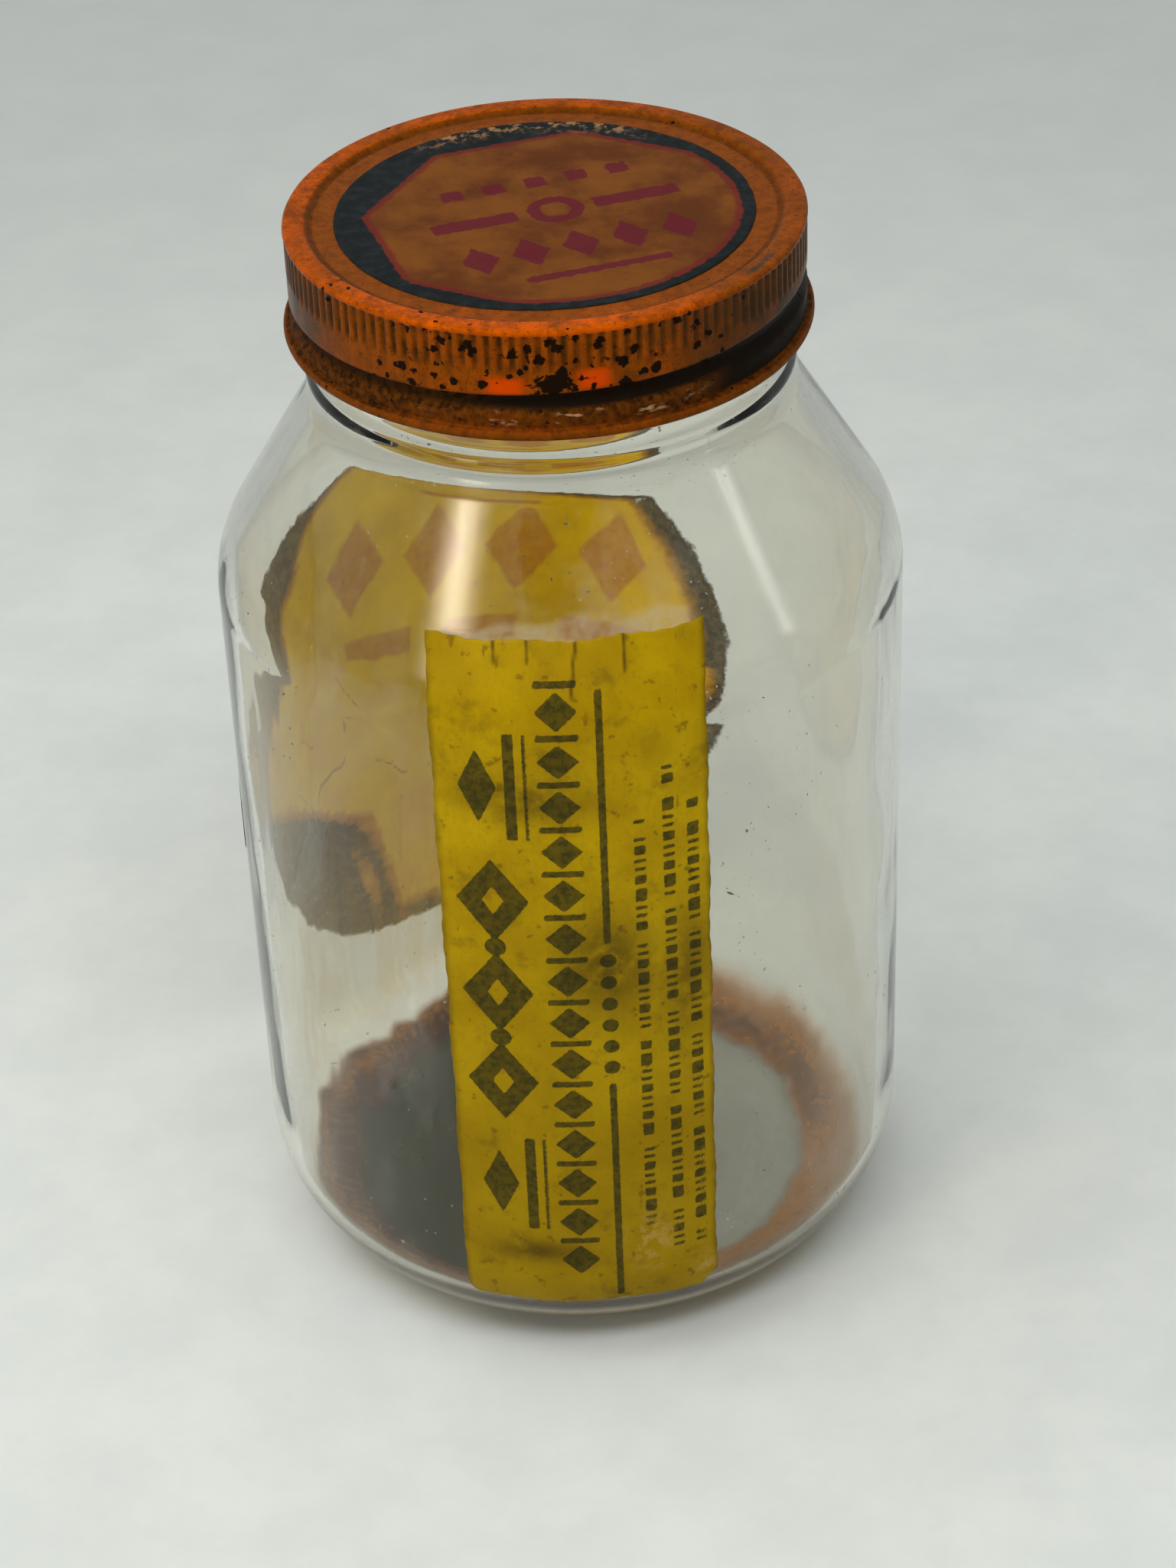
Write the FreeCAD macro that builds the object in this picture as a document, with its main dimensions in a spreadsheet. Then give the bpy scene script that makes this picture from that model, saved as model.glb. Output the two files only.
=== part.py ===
import FreeCAD, Part
import math
import os
import Sketcher

# A clear glass jar with a one-piece screw lid, its liner, labels and the dried oil inside it.
# The jar stands on z = 0 with its axis on Z, and its front label faces -Y.

# Driving sizes, in millimetres, degrees and turns.
SIZES = {
    # Glass body
    "body_radius": 49.2,
    "glass_height": 166.3,
    "glass_wall": 2.8,
    "heel_radius": 20.0,
    "inner_heel_radius": 14.0,
    "floor_thickness": 4.6,
    "floor_dome": 1.6,
    "bearing_width": 2.2,
    "push_up": 2.4,
    "shoulder_radius": 17.3,
    "shoulder_slope": 31.3,
    "neck_length": 20.35,
    "neck_fillet": 8.0,
    "bore_fillet": 11.0,
    # Glass finish, its thread and the ring under it
    "finish_radius": 33.5,
    "finish_wall": 3.5,
    "lip_round": 0.9,
    "thread_height": 1.0,
    "thread_base": 2.6,
    "thread_crest": 1.2,
    "thread_lead": 6.35,
    "thread_turns": 1.2,
    "thread_drop": 2.1,
    "thread_start": 69.3,
    "ring_drop": 19.3,
    "ring_height": 0.6,
    "ring_base": 3.4,
    "ring_crest": 1.2,
    # Fit of the lid on the finish
    "thread_clearance": 0.3,
    "thread_play": 0.3,
    # Lid
    "lid_sheet": 0.4,
    "skirt_height": 15.0,
    "panel_recess": 0.7,
    "rim_width": 3.6,
    "rim_round": 0.6,
    "rim_step": 0.4,
    "band_step": 0.3,
    "knurl_drop": 1.0,
    "knurl_height": 4.2,
    "rib_count": 134,
    "rib_rise": 0.3,
    "rib_foot": 1.0,
    "rib_crest": 0.5,
    "curl_bore": 0.3,
    "curl_end": 100.0,
    "groove_depth": 1.0,
    "groove_floor": 0.6,
    "groove_above_curl": 1.0,
    "groove_below_knurl": 0.15,
    # Liner
    "board_thickness": 1.0,
    "facing_thickness": 0.2,
    "liner_clearance": 0.4,
    # Paper label and transfers
    "lid_decal_inset": 3.4,
    "decal_film": 0.12,
    "decal_margin": 0.3,
    "decal_stretch": 1.227,
    "decal_bearing": 119.5,
    "label_width": 37.4,
    "label_paper": 0.15,
    "label_heel_wrap": 19.6,
    "label_cone_run": 6.1,
    "label_bearing": -90.0,
    "glue_gap": 0.05,
    # Dried oil
    "residue_low": 74.0,
    "residue_high": 38.0,
    "residue_meniscus": 30.0,
    "residue_gap": 0.05,
}

# Half of the turn that the lid's sheet makes at a 45 degree step, in degrees.
MITRE = 22.5

# Sizes that follow from the driving ones, for expressions. Radii are measured from the jar's axis.
INNER_RADIUS = "(Sizes.body_radius - Sizes.glass_wall)"
BORE_RADIUS = "(Sizes.finish_radius - Sizes.finish_wall)"
NECK_FOOT = "(Sizes.glass_height - Sizes.neck_length)"
SEAT_RADIUS = "(Sizes.inner_heel_radius - Sizes.residue_gap)"
SLOPE = "(Sizes.shoulder_slope * 1 deg)"
SHOULDER_START = "glass_outline.Constraints.shoulder_start"
HEEL_NEAR = "(Sizes.heel_radius + Sizes.glue_gap)"
HEEL_FAR = "(Sizes.heel_radius + Sizes.glue_gap + Sizes.label_paper)"
DECAL_RADIUS = f"(({SHOULDER_START} - Sizes.heel_radius * 1 mm) / 2 - Sizes.decal_margin * 1 mm)"
DECAL_REACH = f"{DECAL_RADIUS} * Sizes.decal_stretch / (Sizes.body_radius * 1 mm) * 1 rad"
DECAL_HALF_WIDTH = f"Sizes.body_radius * 1 mm * sin({DECAL_REACH})"
KNURL_RADIUS = "(Sizes.finish_radius + Sizes.thread_height + Sizes.thread_clearance + Sizes.lid_sheet)"
BAND_RADIUS = f"({KNURL_RADIUS} + Sizes.band_step)"
RIM_RADIUS = f"({KNURL_RADIUS} + Sizes.rim_step)"
PANEL_RADIUS = f"({RIM_RADIUS} - Sizes.rim_width)"
LINER_RADIUS = f"({KNURL_RADIUS} - Sizes.lid_sheet - Sizes.liner_clearance)"
LINER_TOP = "(Sizes.glass_height + Sizes.facing_thickness + Sizes.board_thickness)"
PANEL_TOP = "(Sizes.skirt_height - Sizes.panel_recess)"
KNURL_TOP = "(Sizes.skirt_height - Sizes.knurl_drop)"
KNURL_FOOT = f"({KNURL_TOP} - Sizes.knurl_height)"
BAND_TOP = f"({KNURL_FOOT} - Sizes.band_step)"
LID_BASE = f"({LINER_TOP} + Sizes.lid_sheet - {PANEL_TOP})"
THREAD_FOOT = "(Sizes.glass_height - Sizes.thread_drop - Sizes.thread_lead * Sizes.thread_turns)"
RING_MIDDLE = "(Sizes.glass_height - Sizes.ring_drop)"
CORNER = f"tan({MITRE} deg)"
GROOVE_HALF = "(Sizes.groove_floor / 2 + Sizes.groove_depth)"
BEAD_TIP_HALF = f"(Sizes.groove_floor / 2 + Sizes.lid_sheet * {CORNER})"
CURL_OUTSIDE = "(Sizes.curl_bore + Sizes.lid_sheet)"
BEAD_FOOT = f"({CURL_OUTSIDE} + Sizes.groove_above_curl + {GROOVE_HALF})"
BEAD_HEAD = f"({BAND_TOP} - Sizes.groove_below_knurl - {GROOVE_HALF})"
BEAD_TURNS = f"({BEAD_HEAD} - {BEAD_FOOT}) / Sizes.thread_lead"
# The bead lies under the glass thread, with the play between their flanks.
BEAD_UNDER_THREAD = (
    f"(Sizes.thread_crest / 2 + {BEAD_TIP_HALF} + Sizes.groove_depth"
    " - Sizes.thread_clearance - Sizes.band_step + Sizes.thread_play)"
)
BEAD_CLIMB = f"({LID_BASE} + {BEAD_FOOT} + {BEAD_UNDER_THREAD} - {THREAD_FOOT})"
BEAD_START = f"(Sizes.thread_start + 360 * {BEAD_CLIMB} / Sizes.thread_lead)"

ORIGIN, H_AXIS, V_AXIS = -1, -1, -2
START, END, CENTRE = 1, 2, 3
AXIS_X = FreeCAD.Vector(1, 0, 0)
AXIS_Y = FreeCAD.Vector(0, 1, 0)
AXIS_Z = FreeCAD.Vector(0, 0, 1)
# A turn needs some angle of its own to keep its axis, until an expression gives the real angle.
FIRST_ANGLE = 1.0
# How far a feature's profile reaches into, or past, the wall that it is joined to or cut from.
EMBED = 0.3
PAST = 0.5
# How far round the jar the label and the large transfer are drawn before they are trimmed.
LABEL_SWEEP = 70.0
DECAL_SWEEP = 170.0

doc = FreeCAD.newDocument("oil_jar")


def make_sheet():
    """The spreadsheet of driving sizes, one named cell for each."""
    sheet = doc.addObject("Spreadsheet::Sheet", "Sizes")
    for row, (name, value) in enumerate(SIZES.items(), start=1):
        sheet.set(f"A{row}", name)
        sheet.set(f"B{row}", str(value))
        sheet.setAlias(f"B{row}", name)
    doc.recompute()


def origin_feature(body, role):
    """One of a body's own origin planes or axes."""
    for feature in body.Origin.OriginFeatures:
        if feature.Role == role:
            return feature
    raise ValueError(f"{body.Label} has no {role}")


def polar(centre, radius, degrees):
    angle = math.radians(degrees)
    return centre[0] + radius * math.cos(angle), centre[1] + radius * math.sin(angle)


class Outline:
    """A closed sketch outline, drawn edge after edge and then held by named sizes."""

    def __init__(self, body, name, plane="XZ_Plane"):
        self.sketch = body.newObject("Sketcher::SketchObject", name)
        self.sketch.AttachmentSupport = [(origin_feature(body, plane), "")]
        self.sketch.MapMode = "FlatFace"
        self.edges = []

    def line(self, start, end):
        segment = Part.LineSegment(FreeCAD.Vector(*start, 0), FreeCAD.Vector(*end, 0))
        index = self.sketch.addGeometry(segment)
        self.edges.append((index, START, END))
        return index

    def arc(self, centre, radius, first, last):
        """An arc from angle first to angle last, whichever way round that is."""
        circle = Part.Circle(FreeCAD.Vector(*centre, 0), AXIS_Z, radius)
        low, high = sorted((first, last))
        index = self.sketch.addGeometry(Part.ArcOfCircle(circle, math.radians(low), math.radians(high)))
        ends = (START, END) if first < last else (END, START)
        self.edges.append((index, *ends))
        return index

    def polygon(self, corners):
        """Straight edges through the corners and back to the first one."""
        following = corners[1:] + corners[:1]
        edges = [self.line(a, b) for a, b in zip(corners, following)]
        self.join()
        return edges

    def join(self, smooth=()):
        """Joins each edge to the next, tangent to it where the edge is listed as smooth."""
        following = self.edges[1:] + self.edges[:1]
        for (index, _, last), (other, first, _) in zip(self.edges, following):
            kind = "Tangent" if index in smooth else "Coincident"
            self.sketch.addConstraint(Sketcher.Constraint(kind, index, last, other, first))

    def hold(self, kind, *where):
        self.sketch.addConstraint(Sketcher.Constraint(kind, *where))

    def bind(self, constraint, name, expression):
        number = self.sketch.addConstraint(constraint)
        self.sketch.renameConstraint(number, name)
        self.sketch.setExpression(f"Constraints.{name}", expression)

    def across(self, name, expression, index, end=START):
        """The distance of a point from the axis."""
        distance = self.sketch.getPoint(index, end).x
        self.bind(Sketcher.Constraint("DistanceX", ORIGIN, START, index, end, distance), name, expression)

    def height(self, name, expression, index, end=START):
        """The height of a point above the sketch's origin."""
        distance = self.sketch.getPoint(index, end).y
        self.bind(Sketcher.Constraint("DistanceY", ORIGIN, START, index, end, distance), name, expression)

    def point(self, name, across, height, index, end=START):
        self.across(f"{name}_across", across, index, end)
        self.height(f"{name}_height", height, index, end)

    def radius(self, name, expression, index):
        size = self.sketch.Geometry[index].Radius
        self.bind(Sketcher.Constraint("Radius", index, size), name, expression)

    def angle(self, name, expression, index):
        """The direction of a straight edge, from the sketch's first axis."""
        edge = self.sketch.Geometry[index]
        way = edge.EndPoint - edge.StartPoint
        self.bind(Sketcher.Constraint("Angle", index, math.atan2(way.y, way.x)), name, expression)

    def measure(self, name, index, end):
        """A named height that the sketch reports and that doesn't drive it."""
        distance = self.sketch.getPoint(index, end).y
        constraint = Sketcher.Constraint("DistanceY", ORIGIN, START, index, end, distance)
        number = self.sketch.addConstraint(constraint)
        self.sketch.setDriving(number, False)
        self.sketch.renameConstraint(number, name)


def add_body(name):
    body = doc.addObject("PartDesign::Body", name)
    body.Label = name
    return body


def add_primitive(kind, name, expressions):
    """A primitive whose properties follow the sheet."""
    solid = doc.addObject(kind, name)
    solid.Label = name
    for path, expression in expressions.items():
        solid.setExpression(path, expression)
    return solid


def add_common(name, first, second):
    """The space that two solids share."""
    common = doc.addObject("Part::Common", name)
    common.Label = name
    common.Base = first
    common.Tool = second
    return common


def revolve(body, kind, name, outline, angle=360.0):
    """Turns an outline about the jar's axis, as added or removed material."""
    before = body.Shape.Volume if body.Tip else 0.0
    feature = body.newObject(kind, name)
    feature.Profile = outline.sketch
    feature.ReferenceAxis = (outline.sketch, ["V_Axis"])
    feature.Angle = angle
    feature.Midplane = angle < 360.0
    doc.recompute()
    change = body.Shape.Volume - before
    if (change > 0) != (kind == "PartDesign::Revolution"):
        raise ValueError(f"{name} changed the volume by {change:.1f}")


def wind(body, kind, name, outline, turns):
    """Winds an outline round the jar's axis as a right-hand thread of the common lead."""
    before = body.Shape.Volume
    feature = body.newObject(kind, name)
    feature.Profile = outline.sketch
    feature.ReferenceAxis = (outline.sketch, ["V_Axis"])
    feature.Mode = "pitch-turns-angle"
    feature.setExpression("Pitch", "Sizes.thread_lead")
    feature.setExpression("Turns", turns)
    doc.recompute()
    change = body.Shape.Volume - before
    if (change > 0) != (kind == "PartDesign::AdditiveHelix"):
        raise ValueError(f"{name} changed the volume by {change:.1f}")


def turn_sketch(outline, degrees):
    """Turns a sketch about the jar's axis, which is the sketch's own upright axis."""
    turn = FreeCAD.Rotation(AXIS_Y, FIRST_ANGLE)
    outline.sketch.AttachmentOffset = FreeCAD.Placement(FreeCAD.Vector(), turn)
    outline.sketch.setExpression("AttachmentOffset.Rotation.Angle", degrees)


def turn_solid(solid, degrees):
    """Turns a whole solid about the jar's axis."""
    solid.Placement = FreeCAD.Placement(FreeCAD.Vector(), FreeCAD.Rotation(AXIS_Z, FIRST_ANGLE))
    solid.setExpression("Placement.Rotation.Angle", degrees)


def shoulder_start():
    """The height at which the straight wall of the body ends, worked out from the neck downwards."""
    slope = math.radians(SIZES["shoulder_slope"])
    drop = (SIZES["neck_fillet"] + SIZES["shoulder_radius"]) * math.sin(slope)
    inset = (SIZES["neck_fillet"] + SIZES["shoulder_radius"]) * (1 - math.cos(slope))
    cone = (SIZES["body_radius"] - SIZES["finish_radius"] - inset) / math.tan(slope)
    return SIZES["glass_height"] - SIZES["neck_length"] - drop - cone


def dome_arc(outline, rim_radius, rim_height, rise):
    """A shallow dome from its rim up to the axis."""
    radius = (rim_radius**2 + rise**2) / (2 * rise)
    centre = (0.0, rim_height + rise - radius)
    rim_angle = math.degrees(math.acos(rim_radius / radius))
    index = outline.arc(centre, radius, 90.0, rim_angle)
    outline.hold("PointOnObject", index, CENTRE, V_AXIS)


def draw_glass_outside(body):
    """Half of the jar's outside, from the push-up round the heel to the lip."""
    s = SIZES
    outline = Outline(body, "glass_outline")
    slope = s["shoulder_slope"]
    heel_centre = (s["body_radius"] - s["heel_radius"], s["heel_radius"])
    shoulder_centre = (s["body_radius"] - s["shoulder_radius"], shoulder_start())
    neck_foot = s["glass_height"] - s["neck_length"]
    fillet_centre = (s["finish_radius"] + s["neck_fillet"], neck_foot)
    lip_centre = (s["finish_radius"] - s["lip_round"], s["glass_height"] - s["lip_round"])
    bearing_edge = heel_centre[0] - s["bearing_width"]

    dome_arc(outline, bearing_edge, 0.0, s["push_up"])
    bearing = outline.line((bearing_edge, 0), (heel_centre[0], 0))
    heel = outline.arc(heel_centre, s["heel_radius"], -90, 0)
    wall = outline.line((s["body_radius"], s["heel_radius"]), (s["body_radius"], shoulder_centre[1]))
    shoulder = outline.arc(shoulder_centre, s["shoulder_radius"], 0, slope)
    cone = outline.line(
        polar(shoulder_centre, s["shoulder_radius"], slope),
        polar(fillet_centre, s["neck_fillet"], 180 + slope),
    )
    fillet = outline.arc(fillet_centre, s["neck_fillet"], 180 + slope, 180)
    neck = outline.line((s["finish_radius"], neck_foot), (s["finish_radius"], lip_centre[1]))
    lip = outline.arc(lip_centre, s["lip_round"], 0, 90)
    land = outline.line((lip_centre[0], s["glass_height"]), (0, s["glass_height"]))
    axis = outline.line((0, s["glass_height"]), (0, s["push_up"]))

    outline.join(smooth=(bearing, heel, wall, shoulder, cone, fillet, neck, lip))
    outline.hold("PointOnObject", bearing, START, H_AXIS)
    outline.hold("PointOnObject", bearing, END, H_AXIS)
    outline.hold("PointOnObject", axis, START, V_AXIS)
    outline.hold("PointOnObject", axis, END, V_AXIS)
    outline.hold("Vertical", wall)
    outline.hold("Vertical", neck)
    outline.hold("Horizontal", land)
    outline.across("bearing_edge", "Sizes.body_radius - Sizes.heel_radius - Sizes.bearing_width", bearing)
    outline.height("push_up", "Sizes.push_up", axis, END)
    outline.radius("heel_radius", "Sizes.heel_radius", heel)
    outline.across("body_radius", "Sizes.body_radius", wall)
    outline.radius("shoulder_radius", "Sizes.shoulder_radius", shoulder)
    outline.angle("shoulder_slope", f"90 deg + {SLOPE}", cone)
    outline.radius("neck_fillet", "Sizes.neck_fillet", fillet)
    outline.point("neck_foot", "Sizes.finish_radius", NECK_FOOT, neck)
    outline.radius("lip_round", "Sizes.lip_round", lip)
    outline.height("glass_height", "Sizes.glass_height", land)
    outline.measure("shoulder_start", wall, END)
    return outline


def draw_glass_inside(body):
    """Half of the space inside the jar, from the floor to the mouth."""
    s = SIZES
    outline = Outline(body, "cavity_outline")
    slope = s["shoulder_slope"]
    inner_radius = s["body_radius"] - s["glass_wall"]
    bore_radius = s["finish_radius"] - s["finish_wall"]
    heel_centre = (inner_radius - s["inner_heel_radius"], s["floor_thickness"] + s["inner_heel_radius"])
    shoulder_centre = (s["body_radius"] - s["shoulder_radius"], shoulder_start())
    shoulder_radius = s["shoulder_radius"] - s["glass_wall"]
    cone_foot = polar(shoulder_centre, shoulder_radius, slope)
    cone_inset = cone_foot[0] - bore_radius - s["bore_fillet"] * (1 - math.cos(math.radians(slope)))
    cone_head = cone_foot[1] + cone_inset / math.tan(math.radians(slope))
    fillet_height = cone_head + s["bore_fillet"] * math.sin(math.radians(slope))
    fillet_centre = (bore_radius + s["bore_fillet"], fillet_height)
    lip_centre = (bore_radius + s["lip_round"], s["glass_height"] - s["lip_round"])

    dome_arc(outline, heel_centre[0], s["floor_thickness"], s["floor_dome"])
    heel = outline.arc(heel_centre, s["inner_heel_radius"], -90, 0)
    wall = outline.line((inner_radius, heel_centre[1]), (inner_radius, shoulder_centre[1]))
    shoulder = outline.arc(shoulder_centre, shoulder_radius, 0, slope)
    cone = outline.line(cone_foot, polar(fillet_centre, s["bore_fillet"], 180 + slope))
    fillet = outline.arc(fillet_centre, s["bore_fillet"], 180 + slope, 180)
    bore = outline.line((bore_radius, fillet_height), (bore_radius, lip_centre[1]))
    lip = outline.arc(lip_centre, s["lip_round"], 180, 90)
    mouth = outline.line((lip_centre[0], s["glass_height"]), (0, s["glass_height"]))
    axis = outline.line((0, s["glass_height"]), (0, s["floor_thickness"] + s["floor_dome"]))

    outline.join(smooth=(heel, wall, shoulder, cone, fillet, bore))
    outline.hold("PointOnObject", axis, START, V_AXIS)
    outline.hold("PointOnObject", axis, END, V_AXIS)
    outline.hold("Vertical", heel, START, heel, CENTRE)
    outline.hold("Vertical", wall)
    outline.hold("Vertical", bore)
    outline.hold("Vertical", lip, CENTRE, lip, START)
    outline.hold("Horizontal", mouth)
    outline.height("floor_top", "Sizes.floor_thickness + Sizes.floor_dome", axis, END)
    outline.height("floor_edge", "Sizes.floor_thickness", heel, START)
    outline.radius("heel_radius", "Sizes.inner_heel_radius", heel)
    outline.across("inner_radius", INNER_RADIUS, wall)
    outline.radius("shoulder_radius", "Sizes.shoulder_radius - Sizes.glass_wall", shoulder)
    outline.height("shoulder_start", SHOULDER_START, wall, END)
    outline.angle("shoulder_slope", f"90 deg + {SLOPE}", cone)
    outline.radius("bore_fillet", "Sizes.bore_fillet", fillet)
    outline.across("bore_radius", BORE_RADIUS, bore)
    outline.radius("lip_round", "Sizes.lip_round", lip)
    outline.height("glass_height", "Sizes.glass_height", mouth)
    return outline


def draw_thread(body, name, rows):
    """A four-cornered thread section: each row is a radius and the heights of its two corners."""
    (outer, outer_low, outer_high), (inner, inner_low, inner_high) = rows
    outline = Outline(body, name)
    corners = [outer, outer, inner, inner]
    levels = [outer_low, outer_high, inner_high, inner_low]
    edges = outline.polygon([(corner[0], level[0]) for corner, level in zip(corners, levels)])
    for number, (edge, corner, level) in enumerate(zip(edges, corners, levels)):
        outline.point(f"corner{number}", corner[1], level[1], edge)
    return outline


def band(middle, half):
    """The low and high edge of a band about its middle height, each as a value and its expression."""
    low = (middle[0] - half[0], f"{middle[1]} - ({half[1]})")
    high = (middle[0] + half[0], f"{middle[1]} + ({half[1]})")
    return low, high


def draw_ridge(body, kind, middle):
    """The section of a ridge that stands on the finish: its thread, or the ring under the lid."""
    s = SIZES
    flare = (s[f"{kind}_base"] - s[f"{kind}_crest"]) / s[f"{kind}_height"]
    slant = f"(Sizes.{kind}_base - Sizes.{kind}_crest) / Sizes.{kind}_height"
    crest = (s["finish_radius"] + s[f"{kind}_height"], f"Sizes.finish_radius + Sizes.{kind}_height")
    root = (s["finish_radius"] - EMBED, f"Sizes.finish_radius - {EMBED}")
    crest_half = (s[f"{kind}_crest"] / 2, f"Sizes.{kind}_crest / 2")
    root_half = ((s[f"{kind}_base"] + EMBED * flare) / 2, f"(Sizes.{kind}_base + {EMBED} * {slant}) / 2")
    rows = [(crest, *band(middle, crest_half)), (root, *band(middle, root_half))]
    return draw_thread(body, f"glass_{kind}_section", rows)


def make_jar():
    """The glass: a turned outside, the space inside it, the ring on the neck and the thread on the finish."""
    s = SIZES
    body = add_body("glass_jar")
    revolve(body, "PartDesign::Revolution", "glass_outside", draw_glass_outside(body))
    revolve(body, "PartDesign::Groove", "glass_inside", draw_glass_inside(body))

    ring = draw_ridge(body, "ring", (s["glass_height"] - s["ring_drop"], RING_MIDDLE))
    revolve(body, "PartDesign::Revolution", "glass_ring", ring)

    foot = s["glass_height"] - s["thread_drop"] - s["thread_lead"] * s["thread_turns"]
    outline = draw_ridge(body, "thread", (foot, THREAD_FOOT))
    turn_sketch(outline, "Sizes.thread_start")
    wind(body, "PartDesign::AdditiveHelix", "glass_thread", outline, "Sizes.thread_turns")
    return body


def lid_radii():
    """The outside radii of the lid's knurled band, plain band, rim and panel."""
    s = SIZES
    knurl = s["finish_radius"] + s["thread_height"] + s["thread_clearance"] + s["lid_sheet"]
    rim = knurl + s["rim_step"]
    return knurl, knurl + s["band_step"], rim, rim - s["rim_width"]


def draw_lid_face(body, name, inward):
    """One face of the lid's sheet, from the panel over the rim and down the skirt.

    The outer face has inward 0, and the inner one has inward 1, one sheet thickness inside it.
    """
    s = SIZES
    outline = Outline(body, name)
    offset = inward * s["lid_sheet"]
    shift = f"{inward} * Sizes.lid_sheet"
    panel = lid_radii()[3]
    knurl, plain, rim = (radius - offset for radius in lid_radii()[:3])
    panel_top = s["skirt_height"] - s["panel_recess"] - offset
    rim_top = s["skirt_height"] - offset
    step_foot = panel + offset * math.tan(math.radians(MITRE))
    step_head = step_foot + s["panel_recess"]
    round_radius = s["rim_round"] - offset
    round_centre = (rim - round_radius, s["skirt_height"] - s["rim_round"])
    knurl_top = s["skirt_height"] - s["knurl_drop"]
    knurl_foot = knurl_top - s["knurl_height"]
    band_top = knurl_foot - s["band_step"]

    top = outline.line((0, panel_top), (step_foot, panel_top))
    step = outline.line((step_foot, panel_top), (step_head, rim_top))
    crown = outline.line((step_head, rim_top), (round_centre[0], rim_top))
    corner = outline.arc(round_centre, round_radius, 90, 0)
    tuck = outline.line((rim, round_centre[1]), (knurl, knurl_top))
    grip = outline.line((knurl, knurl_top), (knurl, knurl_foot))
    flare = outline.line((knurl, knurl_foot), (plain, band_top))
    skirt = outline.line((plain, band_top), (plain, 0))
    foot = outline.line((plain, 0), (0, 0))
    axis = outline.line((0, 0), (0, panel_top))

    outline.join(smooth=(crown,))
    outline.hold("PointOnObject", axis, START, H_AXIS)
    outline.hold("PointOnObject", axis, START, V_AXIS)
    outline.hold("Vertical", axis)
    outline.hold("Horizontal", top)
    outline.hold("Horizontal", crown)
    outline.hold("Horizontal", foot)
    outline.hold("Horizontal", corner, CENTRE, corner, START)
    outline.hold("Vertical", skirt)
    foot_across = f"{PANEL_RADIUS} + {shift} * {CORNER}"
    outline.point("step_foot", foot_across, f"{PANEL_TOP} - {shift}", step)
    head_across = f"{foot_across} + Sizes.panel_recess"
    outline.point("step_head", head_across, f"Sizes.skirt_height - {shift}", crown)
    outline.radius("rim_round", f"Sizes.rim_round - {shift}", corner)
    outline.across("rim_radius", f"{RIM_RADIUS} - {shift}", tuck)
    outline.point("knurl_top", f"{KNURL_RADIUS} - {shift}", KNURL_TOP, grip)
    outline.point("knurl_foot", f"{KNURL_RADIUS} - {shift}", KNURL_FOOT, flare)
    outline.point("band_top", f"{BAND_RADIUS} - {shift}", BAND_TOP, skirt)
    return outline


def draw_curl(body):
    """The section of the curl: the sheet's lower edge rolled outwards and back up."""
    s = SIZES
    outline = Outline(body, "curl_section")
    plain = lid_radii()[1]
    inner = s["curl_bore"]
    outer = s["curl_bore"] + s["lid_sheet"]
    centre = (plain + inner, 0)
    last = 360 + s["curl_end"]
    roll = outline.arc(centre, outer, 180, last)
    outline.line(polar(centre, outer, last), polar(centre, inner, last))
    bore = outline.arc(centre, inner, last, 180)
    joint = outline.line((plain, 0), (plain - s["lid_sheet"], 0))
    outline.join()
    outline.hold("Coincident", roll, CENTRE, bore, CENTRE)
    outline.hold("PointOnObject", roll, CENTRE, H_AXIS)
    outline.hold("PointOnObject", joint, START, H_AXIS)
    outline.hold("PointOnObject", joint, END, H_AXIS)
    outline.across("curl_centre", f"{BAND_RADIUS} + Sizes.curl_bore", roll, CENTRE)
    outline.radius("curl_outside", CURL_OUTSIDE, roll)
    outline.radius("curl_bore", "Sizes.curl_bore", bore)
    for name, edge, radius in (("roll_end", roll, CURL_OUTSIDE), ("bore_end", bore, "Sizes.curl_bore")):
        end = f"{BAND_RADIUS} + Sizes.curl_bore + {radius} * cos(Sizes.curl_end * 1 deg)"
        outline.across(name, end, edge, END)
    return outline


def add_ribs(body):
    """The knurl: upright ribs standing on the grip band, repeated all the way round."""
    s = SIZES
    knurl = lid_radii()[0]
    foot_half = s["rib_foot"] / 2
    crest_half = s["rib_crest"] / 2
    root = knurl - s["lid_sheet"] / 2
    crest = knurl + s["rib_rise"]
    outline = Outline(body, "rib_section", "XY_Plane")
    corners = [(root, -foot_half), (crest, -crest_half), (crest, crest_half), (root, foot_half)]
    low_foot, low_crest, high_crest, high_foot = outline.polygon(corners)
    outline.point("low_foot", f"{KNURL_RADIUS} - Sizes.lid_sheet / 2", "-Sizes.rib_foot / 2", low_foot)
    outline.point("low_crest", f"{KNURL_RADIUS} + Sizes.rib_rise", "-Sizes.rib_crest / 2", low_crest)
    outline.point("high_crest", f"{KNURL_RADIUS} + Sizes.rib_rise", "Sizes.rib_crest / 2", high_crest)
    outline.point("high_foot", f"{KNURL_RADIUS} - Sizes.lid_sheet / 2", "Sizes.rib_foot / 2", high_foot)
    outline.sketch.setExpression("AttachmentOffset.Base.z", KNURL_FOOT)
    rib = body.newObject("PartDesign::Pad", "rib")
    rib.Profile = outline.sketch
    rib.setExpression("Length", "Sizes.knurl_height")
    doc.recompute()
    ribs = body.newObject("PartDesign::PolarPattern", "ribs")
    ribs.Originals = [rib]
    ribs.Axis = (origin_feature(body, "Z_Axis"), [""])
    ribs.Angle = 360
    ribs.setExpression("Occurrences", "Sizes.rib_count")
    body.Tip = ribs
    doc.recompute()


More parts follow.
